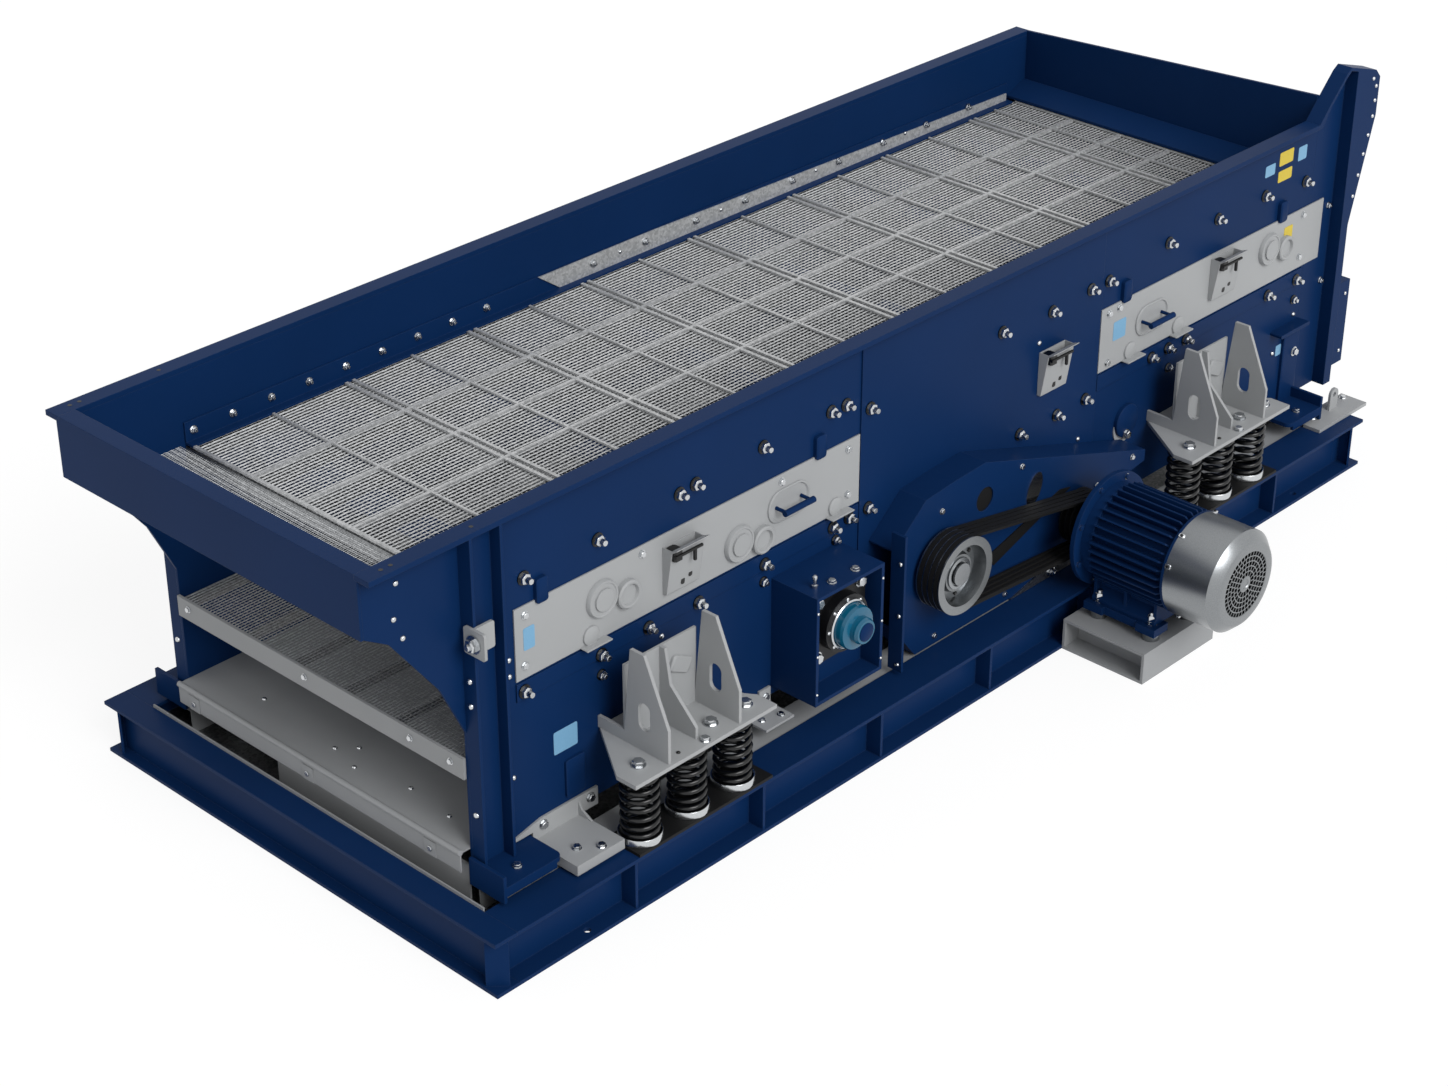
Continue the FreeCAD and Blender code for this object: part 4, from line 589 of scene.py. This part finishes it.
# Screws on the discharge end: posts, deck lip and pan
dome_head([(np.array([(-2.400, side * 0.803, z) for side in (-1, 1) for z in (1.042, 0.947, 0.520)]),
            (-1, 0, 0))], 0.012)
hex_head([(np.array([(-2.412, y, 0.694) for y in (-0.700, -0.500, 0.050, 0.700)]), (-1, 0, 0)),
          (np.array([(-2.447, y, 0.322) for y in (-0.615, 0.030, 0.670)]), (-1, 0, 0))], 0.011)
pan_screws = [(-2.33, 0.02), (-2.27, -0.04), (-2.36, -0.12), (-2.31, -0.36), (-2.33, -0.58), (-2.30, 0.45)]
dome_head([(np.array([(x, y, 0.372) for x, y in pan_screws]), (0, 0, 1))], 0.010)
for side in (-1, 1):
    fasteners["dark"].append(stacked(circle(8), [(x, side * 0.800, 1.594) for x in (-2.729, -2.690, -2.360)],
                                     (0, 0, 1), [(0.008, -0.001), (0.008, 0.0006)]))

# Spring brackets, light brackets and feet
for middle in bracket_middles:
    hex_head(level_of([(middle - 0.250, 1.040), (middle + 0.268, 1.045), (middle + 0.100, 1.040)],
                      bracket_top), 0.023)
    hex_head(level_of([(middle + 0.012, 1.098)], bracket_top), 0.017)
    dome_head(level_of([(middle - 0.110, 0.960), (middle - 0.105, 1.085)], bracket_top), 0.008, "dark")
hex_head(level_of([(-2.066, 0.922), (-2.000, 0.975)], 0.272), 0.015)
hex_head(sides_of([(-2.090, 0.318), (-1.868, 0.318)], 0.784), 0.016)
hex_head(level_of([(-1.062, 0.845), (-0.985, 0.868)], 0.275), 0.012)
hex_head(sides_of([(-0.978, 0.312)], 0.784), 0.014)
hex_head(level_of([(2.405, 0.915), (2.665, 0.900)], 0.235), 0.013)
hex_head(level_of([(-2.300, 0.880), (2.300, 0.890)], 0.300), 0.015)

# Bearing boxes: flange bolts, screws round the boss, bolts and grease nipples on top. The drive side has no
# box on the driven shaft, where the belt guard stands.
grease_nipple = [(0.012, -0.002), (0.012, 0.012), (0.007, 0.014), (0.007, 0.036), (0.010, 0.038),
                 (0.010, 0.046), (0.005, 0.050)]
seal_ring = [(0.0975, -0.001), (0.0975, 0.012), (0.0925, 0.016), (0.0880, 0.014), (0.0880, -0.001)]
for x, z, both in (second_shaft + (True,), drive_shaft + (False,)):
    start = 0 if both else 1
    corners = [(x + side_x * 0.114, z + side_z * 0.114) for side_x in (-1, 1) for side_z in (-1, 1)]
    hex_head(sides_of(corners, 0.936)[start:], 0.021)
    ring = [(x + 0.0995 * math.cos(turn), z + 0.0995 * math.sin(turn)) for turn in np.arange(8) * math.pi / 4]
    dome_head(sides_of(ring, 0.978)[start:], 0.0075)
    rim = [(x + side * 0.175, z + rise) for side in (-1, 1) for rise in (0.120, -0.060, -0.220)]
    dome_head(sides_of(rim, 0.994)[start:], 0.006)
    top = z + 0.182
    hex_head(level_of([(x - 0.055, 0.950), (x + 0.070, 0.952)], top)[start:], 0.015)
    for places, normal in level_of([(x - 0.125, 0.930)], top)[start:]:
        fasteners["bright"].append(stacked(circle(8), places, normal, grease_nipple))
    for places, normal in sides_of([(x, z)], 0.978)[start:]:
        fasteners["bright"].append(stacked(circle(40), places, normal, seal_ring, closed=True))

# Navy plug in the end of each bearing cap
cap_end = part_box("bearing_cap")[1][1]
plugs = [stacked(circle(24), places, normal, [(0.036, -0.001), (0.036, 0.003), (0.030, 0.006)])
         for places, normal in sides_of([second_shaft], cap_end)]
surface("cap_plugs", *together(*plugs), navy_enamel, "navy")

# Belt guard, ear and feed box
guard_bolts = [(0.264, 0.262), (-0.164, 0.262), (0.830, 0.520), (1.060, 0.560), (0.330, 0.800),
               (-0.148, 0.797)]
hex_head([(np.array([(x, guard_face, z) for x, z in guard_bolts]), (0, -1, 0))], 0.011)
nut_and_end([(np.array([(0.540, -0.9125, 0.256)]), (0, -1, 0))], 0.018, "bright", 1.9)
dome_head([(np.array([(-0.427, -0.945, z) for z in (0.701, 0.480, 0.268)]), (-1, 0, 0)),
           (np.array([(-0.415, -0.930, z) for z in (0.701, 0.268)]), (1, 0, 0))], 0.010)
ear_edge = [(2.722, 1.694), (2.748, 1.655), (2.750, 1.590), (2.746, 1.520), (2.728, 1.440), (2.706, 1.360),
            (2.684, 1.270), (2.660, 1.180)]
dome_head([(np.array([(x, -0.833, z) for x, z in ear_edge]), (0, -1, 0)),
           (np.array([(x, -0.821, z) for x, z in ear_edge]), (0, 1, 0)),
           (np.array([(2.835, -0.750, 0.640), (2.835, -0.750, 0.360)]), (0, -1, 0))], 0.009)
nut_and_end([(np.array([(2.570, -0.774, 1.150), (2.570, -0.774, 0.800)]), (0, -1, 0))], 0.012, "bright", 1.6)

# Motor: flange bolts, foot bolts with stacked washers, cowl clips
flange_turns = (np.arange(8) + 0.5) * math.pi / 4
flange_places = np.stack([motor_axis[0] + 0.214 * np.cos(flange_turns), np.full(8, motor_flange_back),
                          motor_axis[1] + 0.214 * np.sin(flange_turns)], axis=-1)
hex_head([(flange_places, (0, -1, 0))], 0.0105, "navy")
foot_bolts = np.array([(motor_axis[0] + side_x * 0.115, -1.271 + side_y * 0.125, 0.203)
                       for side_x in (-1, 1) for side_y in (-1, 1)])
fasteners["bright"].append(stacked(circle(14), foot_bolts, (0, 0, 1), [(0.027, -0.003), (0.027, 0.005),
                                   (0.021, 0.005), (0.021, 0.012), (0.023, 0.012), (0.023, 0.015)]))
fasteners["bright"].append(stacked(circle(6), foot_bolts, (0, 0, 1), [(0.0200, 0.014), (0.0200, 0.032),
                                   (0.0165, 0.036)]))
fasteners["bright"].append(stacked(circle(8), foot_bolts, (0, 0, 1), [(0.0115, 0.035), (0.0115, 0.046),
                                   (0.0095, 0.048)]))
for turn in np.radians([20.0, 65.0, 125.0, 160.0, 245.0, 295.0]):
    outward = (math.cos(turn), 0.0, math.sin(turn))
    place = (motor_axis[0] + 0.2095 * outward[0], motor_end - 0.011, motor_axis[1] + 0.2095 * outward[2])
    fasteners["bright"].append(stacked(rounded(0.026, 0.018, 0.003, 1), [place], outward,
                                       [(1.0, -0.002), (1.0, 0.004), (0.86, 0.006)]))
    fasteners["dark"].append(stacked(circle(6), [place], outward, [(0.006, 0.004), (0.006, 0.010)]))

fastener_finish = {"bright": (zinc_plate, "machined"), "dark": (black_oxide, "black_iron"),
                   "navy": (navy_enamel, "navy")}
for tone, shapes in fasteners.items():
    material, slot = fastener_finish[tone]
    surface(tone + "_fasteners", *together(*shapes), material, slot)


# Pressed and folded fittings

def fitting(name, groups, material, slot, body="screen"):
    """One piece from several stacked shapes."""
    surface(name, *together(*groups), material, slot, body=body)


def lap_places(pairs):
    """Both sides' places and normals for (x, z) pairs on the laps and covers."""
    return sides_of(pairs, lap_face)


grips = [(-0.864, 1.078), (1.299, 1.060)]
covers = [(-1.789, 1.080), (-1.122, 1.014), (2.119, 1.092)]
latches = [(-1.417, 1.080), (0.645, 1.085), (1.776, 1.110)]
tabs = [(-1.830, 0.926), (-0.600, 0.926), (1.175, 0.926), (1.500, 0.926)]
pressed = []
# Pressed oval dish behind each grip: a raised rim round a sunk floor
for places, normal in lap_places(grips):
    pressed.append(stacked(rounded(0.215, 0.130, 0.062, 5), places, normal,
                           [(1.0, -0.001), (1.0, 0.006), (0.93, 0.009), (0.88, 0.003)]))
# Flanged plug beside each round cover, and the cover's own rolled rim
for places, normal in lap_places([(x + 0.118, z - 0.030) for x, z in covers]):
    pressed.append(stacked(circle(20), places, normal, [(0.054, -0.001), (0.054, 0.018), (0.048, 0.023),
                                                        (0.040, 0.022), (0.036, 0.010)]))
for places, normal in lap_places(covers):
    pressed.append(stacked(circle(24), places, normal, [(0.071, -0.001), (0.071, 0.006), (0.066, 0.017),
                                                        (0.060, 0.017), (0.057, 0.013)]))
# Tabs at the strips' lower edges: a short shelf under a round-topped plate
for places, normal in lap_places(tabs):
    pressed.append(stacked(rounded(0.120, 0.007, 0.003, 1), places, normal, [(1.0, -0.001), (1.0, 0.034)]))
for places, normal in lap_places([(x - 0.012, z + 0.032) for x, z in tabs]):
    pressed.append(stacked(circle(16), places, normal, [(0.036, -0.001), (0.036, 0.007), (0.030, 0.010)]))
# Corner angle on the discharge post, for lifting gear, and the plate in each spring bracket
for side in (-1, 1):
    pressed.append(stacked(rounded(0.098, 0.098, 0.008), [(-2.4005, side * 0.846, 1.206)], (-1, 0, 0),
                           [(1.0, -0.001), (1.0, 0.011)]))
    pressed.append(stacked(rounded(0.085, 0.098, 0.008), [(-2.362, side * 0.838, 1.206)], (0, side, 0),
                           [(1.0, -0.006), (1.0, 0.005)]))
    for middle in bracket_middles:
        pressed.append(stacked(rounded(0.105, 0.060, 0.014), [(middle + 0.090, side * bracket_back, 0.765)],
                               (0, side, 0), [(1.0, -0.001), (1.0, 0.010), (0.93, 0.013)],
                               turns=[side * 0.45]))
fitting("pressed_fittings", pressed, grey_enamel, "grey_paint")
lug_bolt = [(np.array([(-2.4115, side * 0.848, 1.206)]), (-1, 0, 0)) for side in (-1, 1)]
lug_parts = []
for places, normal in lug_bolt:
    lug_parts.append(stacked(circle(16), places, normal, [(0.033, -0.001), (0.033, 0.006)]))
    lug_parts.append(stacked(circle(6), places, normal,
                             [(0.024, 0.005), (0.024, 0.022), (0.019, 0.026)], [0.3]))
    lug_parts.append(stacked(circle(8), places, normal, [(0.012, 0.024), (0.012, 0.034), (0.010, 0.036)]))
fitting("lifting_angle_bolts", lug_parts, zinc_plate, "machined")

# Latch bars: a level bar with a hanging stub across each pocket's mouth, and two keyed holes below
bars = []
for side in (-1, 1):
    for x, z in latches:
        bars.append(stacked(circle(8), [(x - 0.010, side * 0.838, z + 0.052)], (1, 0, 0),
                            [(0.006, -0.066), (0.006, 0.066)]))
        bars.append(stacked(circle(8), [(x + 0.020, side * 0.838, z + 0.048)], (0, 0, -1),
                            [(0.007, -0.004), (0.007, 0.040), (0.004, 0.043)]))
        bars.append(stacked(rounded(0.040, 0.046, 0.006, 1), [(x - 0.055, side * 0.815, z + 0.062)],
                            (0, 0, 1), [(1.0, -0.030), (1.0, 0.0105)]))
        bars.append(stacked(rounded(0.018, 0.026, 0.007, 2),
                            [(x + 0.030, side * 0.8015, z - 0.062), (x - 0.005, side * 0.7995, z - 0.080)],
                            (0, side, 0), [(1.0, -0.003), (1.0, 0.0045)]))
fitting("latch_bars", bars, black_oxide, "black_iron")

# Navy straps over the strips' upper edge, the corner clamp and the round hatch at the feed end
straps = []
for places, normal in sides_of([(-2.060, 1.232), (-0.700, 1.235), (1.112, 1.236), (2.200, 1.236)], lap_face):
    straps.append(stacked(rounded(0.052, 0.092, 0.010), places, normal,
                          [(1.0, -0.007), (1.0, 0.010), (0.86, 0.014)]))
for places, normal in sides_of([(2.372, 0.455)], plate_face):
    straps.append(stacked(rounded(0.120, 0.350, 0.010), places, normal,
                          [(1.0, -0.001), (1.0, 0.012), (0.95, 0.014)]))
for places, normal in sides_of([(2.322, 0.662)], plate_face):
    straps.append(stacked(rounded(0.215, 0.016, 0.004, 1), places, normal, [(1.0, -0.001), (1.0, 0.058)]))
for places, normal in sides_of([(-1.930, 0.440)], plate_face):
    straps.append(stacked(rounded(0.090, 0.150, 0.010), places, normal,
                          [(1.0, -0.001), (1.0, 0.010), (0.92, 0.012)]))
for places, normal in sides_of([(1.175, 0.640)], plate_face):
    straps.append(stacked(circle(32), places, normal, [(0.072, -0.001), (0.072, 0.016), (0.067, 0.020)]))
fitting("navy_straps", straps, navy_enamel, "navy")
pale = [stacked(circle(32), places, normal, [(0.068, -0.001), (0.068, 0.005)])
        for places, normal in sides_of([(1.168, 0.610)], plate_face)]
fitting("hatch_seat", pale, grey_enamel, "grey_paint")
hatch_nuts = sides_of([(1.165, 0.585)], 0.793) + sides_of([(2.395, 0.523)], 0.787)
nuts = []
for places, normal in hatch_nuts:
    nuts.append(stacked(circle(14), places, normal, [(0.022, -0.001), (0.022, 0.004)]))
    nuts.append(stacked(circle(6), places, normal, [(0.017, 0.003), (0.017, 0.016), (0.014, 0.019)], [0.4]))
fitting("hatch_nuts", nuts, zinc_plate, "machined")


# Belt guard's back pieces, all flat on the guard's face
def guard_plate(name, corners, thickness, material, slot):
    """Flat plate with an outline of (x, z) corners on the guard's face."""
    shape = stacked(np.array(corners), [(0.0, guard_face, 0.0)], (0, -1, 0),
                    [(1.0, -0.001), (1.0, thickness)])
    fitting(name, [shape], material, slot)


turn = np.arange(20) * np.pi / 10
lean = math.radians(-22)
oval_x = 0.415 + 0.043 * np.cos(turn) * math.cos(lean) - 0.072 * np.sin(turn) * math.sin(lean)
oval_z = 0.668 + 0.043 * np.cos(turn) * math.sin(lean) + 0.072 * np.sin(turn) * math.cos(lean)
guard_plate("guard_oval_plate", np.stack([oval_x, oval_z], axis=-1), 0.004, zinc_plate, "machined")
# A thin black strip laid flat on the guard's face behind the belts: a painted shadow of the belts
guard_plate("guard_painted_belt_shadow", [(0.140, 0.483), (0.180, 0.428), (0.649, 0.586), (0.583, 0.600)], 0.005,
            black_rubber, "rubber")
guard_plate("guard_foot_plate", [(0.300, 0.224), (0.730, 0.224), (0.640, 0.284), (0.560, 0.286)], 0.0075,
            galvanised_steel, "galvanised")
hole = stacked(circle(28), [(0.110, -0.8990, 0.745)], (0, 1, 0), [(0.062, 0.0), (0.062, 0.110)])
fitting("guard_hole_sleeve", [hole], black_rubber, "rubber")

# Plain coloured plates of thin sheet
blank = {"blue": [((-2.118, 1.072), 0.050, 0.085), ((-1.965, 0.602), 0.110, 0.090),
                  ((1.085, 1.078), 0.082, 0.082), ((2.085, 1.452), 0.070, 0.050),
                  ((2.320, 1.462), 0.062, 0.062), ((2.290, 0.560), 0.040, 0.050)],
         "yellow": [((2.200, 1.478), 0.100, 0.060), ((2.200, 1.400), 0.100, 0.050),
                    ((2.262, 1.120), 0.062, 0.062)]}
for tone, material in (("blue", blue_plate), ("yellow", yellow_plate)):
    shapes = []
    for (x, z), width, height in blank[tone]:
        for places, normal in sides_of([(x, z)]):
            shapes.append(stacked(rounded(width, height, 0.006, 2), places, normal,
                                  [(1.0, -0.0005), (1.0, 0.0012)]))
    fitting("blank_" + tone + "_plates", shapes, material, "cap_teal")

# Driven pulley: taper bush round the shaft and three set screws in the web
web = [(drive_shaft[0] + 0.100 * math.cos(turn), -0.978, drive_shaft[1] + 0.100 * math.sin(turn))
       for turn in np.radians([35, 155, 275])]
bush = [stacked(circle(32), [(drive_shaft[0], -0.9985, drive_shaft[1])], (0, -1, 0),
                [(0.066, -0.001), (0.064, 0.006), (0.052, 0.008), (0.050, -0.001)], closed=True)]
fitting("pulley_bush", bush, ground_steel, "shaft", "exciter_rotor")
fitting("pulley_set_screws",
        [stacked(circle(6), web, (0, -1, 0), [(0.009, -0.001), (0.009, 0.004), (0.005, 0.001)])],
        black_oxide, "black_iron", "exciter_rotor")


# Fan cowl

def fan_cowl():
    """Spun cowl with a perforated end: a turned wall, rings and short spokes between them round a plain hub.

    Ring k has radius hub + k * step; between two rings stand spokes a hole's width apart.
    """
    axis = [(motor_axis[0], motor_end, motor_axis[1])]
    wall = stacked(circle(72), axis, (0, -1, 0),
                   [(0.210, 0.0), (0.210, 0.198), (0.176, 0.2325), (0.168, 0.235), (0.136, 0.235),
                    (0.136, 0.231), (0.166, 0.231), (0.174, 0.2285), (0.206, 0.196), (0.206, 0.0)],
                   closed=True)
    hub = stacked(circle(36), axis, (0, -1, 0),
                  [(0.034, 0.229), (0.034, 0.233), (0.030, 0.235), (0.020, 0.235), (0.017, 0.232)])
    shapes = [wall, hub]
    step, hole_spacing, bar = 0.0204, 0.0205, 0.0042
    radii = 0.034 + step * np.arange(6)
    for radius in radii[1:]:
        shapes.append(stacked(circle(60), axis, (0, -1, 0),
                              [(radius + bar / 2, 0.2315), (radius + bar / 2, 0.2345),
                               (radius - bar / 2, 0.2345), (radius - bar / 2, 0.2315)], closed=True))
    spoke = rounded(0.0190, bar, 0.0008, 1)
    for row, (inner, outer) in enumerate(zip(radii, radii[1:])):
        middle = (inner + outer) / 2
        count = int(round(2 * np.pi * middle / hole_spacing))
        turn = (np.arange(count) + 0.5 * (row % 2)) * 2 * np.pi / count
        places = np.stack([motor_axis[0] + middle * np.cos(turn), np.full(count, motor_end),
                           motor_axis[1] + middle * np.sin(turn)], axis=-1)
        shapes.append(stacked(spoke, places, (0, -1, 0), [(1.0, 0.2318), (1.0, 0.2342)], turns=turn))
    made = surface("perforated_fan_cowl", *together(*shapes), turned_aluminium, "machined")
    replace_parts(made, "motor_fan_cowl")


fan_cowl()


def cooling_fan():
    """Moulded fan behind the cowl's end: a hub, a disc and nine straight blades at equal turns."""
    end = (motor_axis[0], motor_end, motor_axis[1])
    turn = np.arange(9) * 2 * np.pi / 9
    middle = np.stack([end[0] + 0.095 * np.cos(turn), np.full(9, end[1]),
                       end[2] + 0.095 * np.sin(turn)], axis=-1)
    parts = [stacked(circle(24), [end], (0, -1, 0), [(0.036, 0.008), (0.036, 0.195), (0.030, 0.200)]),
             stacked(circle(48), [end], (0, -1, 0), [(0.165, 0.120), (0.165, 0.126)]),
             stacked(rounded(0.130, 0.006, 0.002, 1), middle, (0, -1, 0), [(1.0, 0.124), (1.0, 0.190)],
                     turns=turn)]
    fitting("cooling_fan", parts, black_rubber, "rubber", "motor_rotor_body")


cooling_fan()


# Floor, light and camera

def not_lighting(tree):
    """1 for the camera's, mirrored and passed rays, which see the white, and 0 for the rays that light."""
    path = add(tree, "ShaderNodeLightPath")
    seen = add(tree, "ShaderNodeMath", {"operation": "ADD", "use_clamp": True},
               links={0: path.outputs["Is Camera Ray"], 1: path.outputs["Is Glossy Ray"]})
    return add(tree, "ShaderNodeMath", {"operation": "ADD", "use_clamp": True},
               links={0: seen.outputs[0], 1: path.outputs["Is Transmission Ray"]}).outputs[0]


def studio_floor():
    """Plain pale floor that shows white to the camera and keeps the machine's soft shadow."""
    mesh = bpy.data.meshes.new("studio_floor")
    reach = floor_reach
    corners = [(-reach, -reach, -floor_drop), (reach, -reach, -floor_drop),
               (reach, reach, -floor_drop), (-reach, reach, -floor_drop)]
    mesh.from_pydata(corners, [], [(0, 1, 2, 3)])
    floor = bpy.data.objects.new("studio_floor", mesh)
    bpy.context.scene.collection.objects.link(floor)
    material, tree, shader = new_material("matt_white_floor", Roughness=0.95, Base_Color=linear("E9E9E9"))
    share = add(tree, "ShaderNodeMath", {"operation": "MULTIPLY"}, {1: floor_glow_share},
                {0: not_lighting(tree)})
    white = add(tree, "ShaderNodeEmission", values={"Color": (1, 1, 1, 1), "Strength": floor_glow})
    mixed = add(tree, "ShaderNodeMixShader",
                links={0: share.outputs[0], 1: shader.outputs[0], 2: white.outputs[0]})
    tree.links.new(mixed.outputs[0], tree.nodes["Material Output"].inputs["Surface"])
    mesh.materials.append(material)
    floor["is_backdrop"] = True


def studio_light():
    """Soft white surroundings with one wide, soft lamp on the camera's side."""
    world = bpy.data.worlds.new("studio")
    bpy.context.scene.world = world
    world.use_nodes = True
    tree = world.node_tree
    strength = add(tree, "ShaderNodeMix", {"data_type": "FLOAT"}, {2: sky_level, 3: 1.0},
                   {0: not_lighting(tree)})
    tree.links.new(strength.outputs[0], tree.nodes["Background"].inputs["Strength"])
    tree.nodes["Background"].inputs["Color"].default_value = (1, 1, 1, 1)
    lamp = bpy.data.lights.new("soft_lamp", "SUN")
    lamp.energy = lamp_power
    lamp.angle = math.radians(lamp_width)
    holder = bpy.data.objects.new("soft_lamp", lamp)
    holder.rotation_euler = [math.radians(turn) for turn in lamp_turn]
    bpy.context.scene.collection.objects.link(holder)


def photo_camera():
    """Camera fitted to the photo's straight edges."""
    camera = bpy.data.cameras.new("photo_camera")
    camera.lens = camera_lens
    camera.clip_end = 200
    holder = bpy.data.objects.new("photo_camera", camera)
    holder.location = camera_place
    holder.rotation_euler = [math.radians(turn) for turn in camera_turn]
    bpy.context.scene.collection.objects.link(holder)
    bpy.context.scene.camera = holder


studio_floor()
studio_light()
photo_camera()
bpy.context.scene.view_settings.view_transform = "Standard"

low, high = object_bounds()
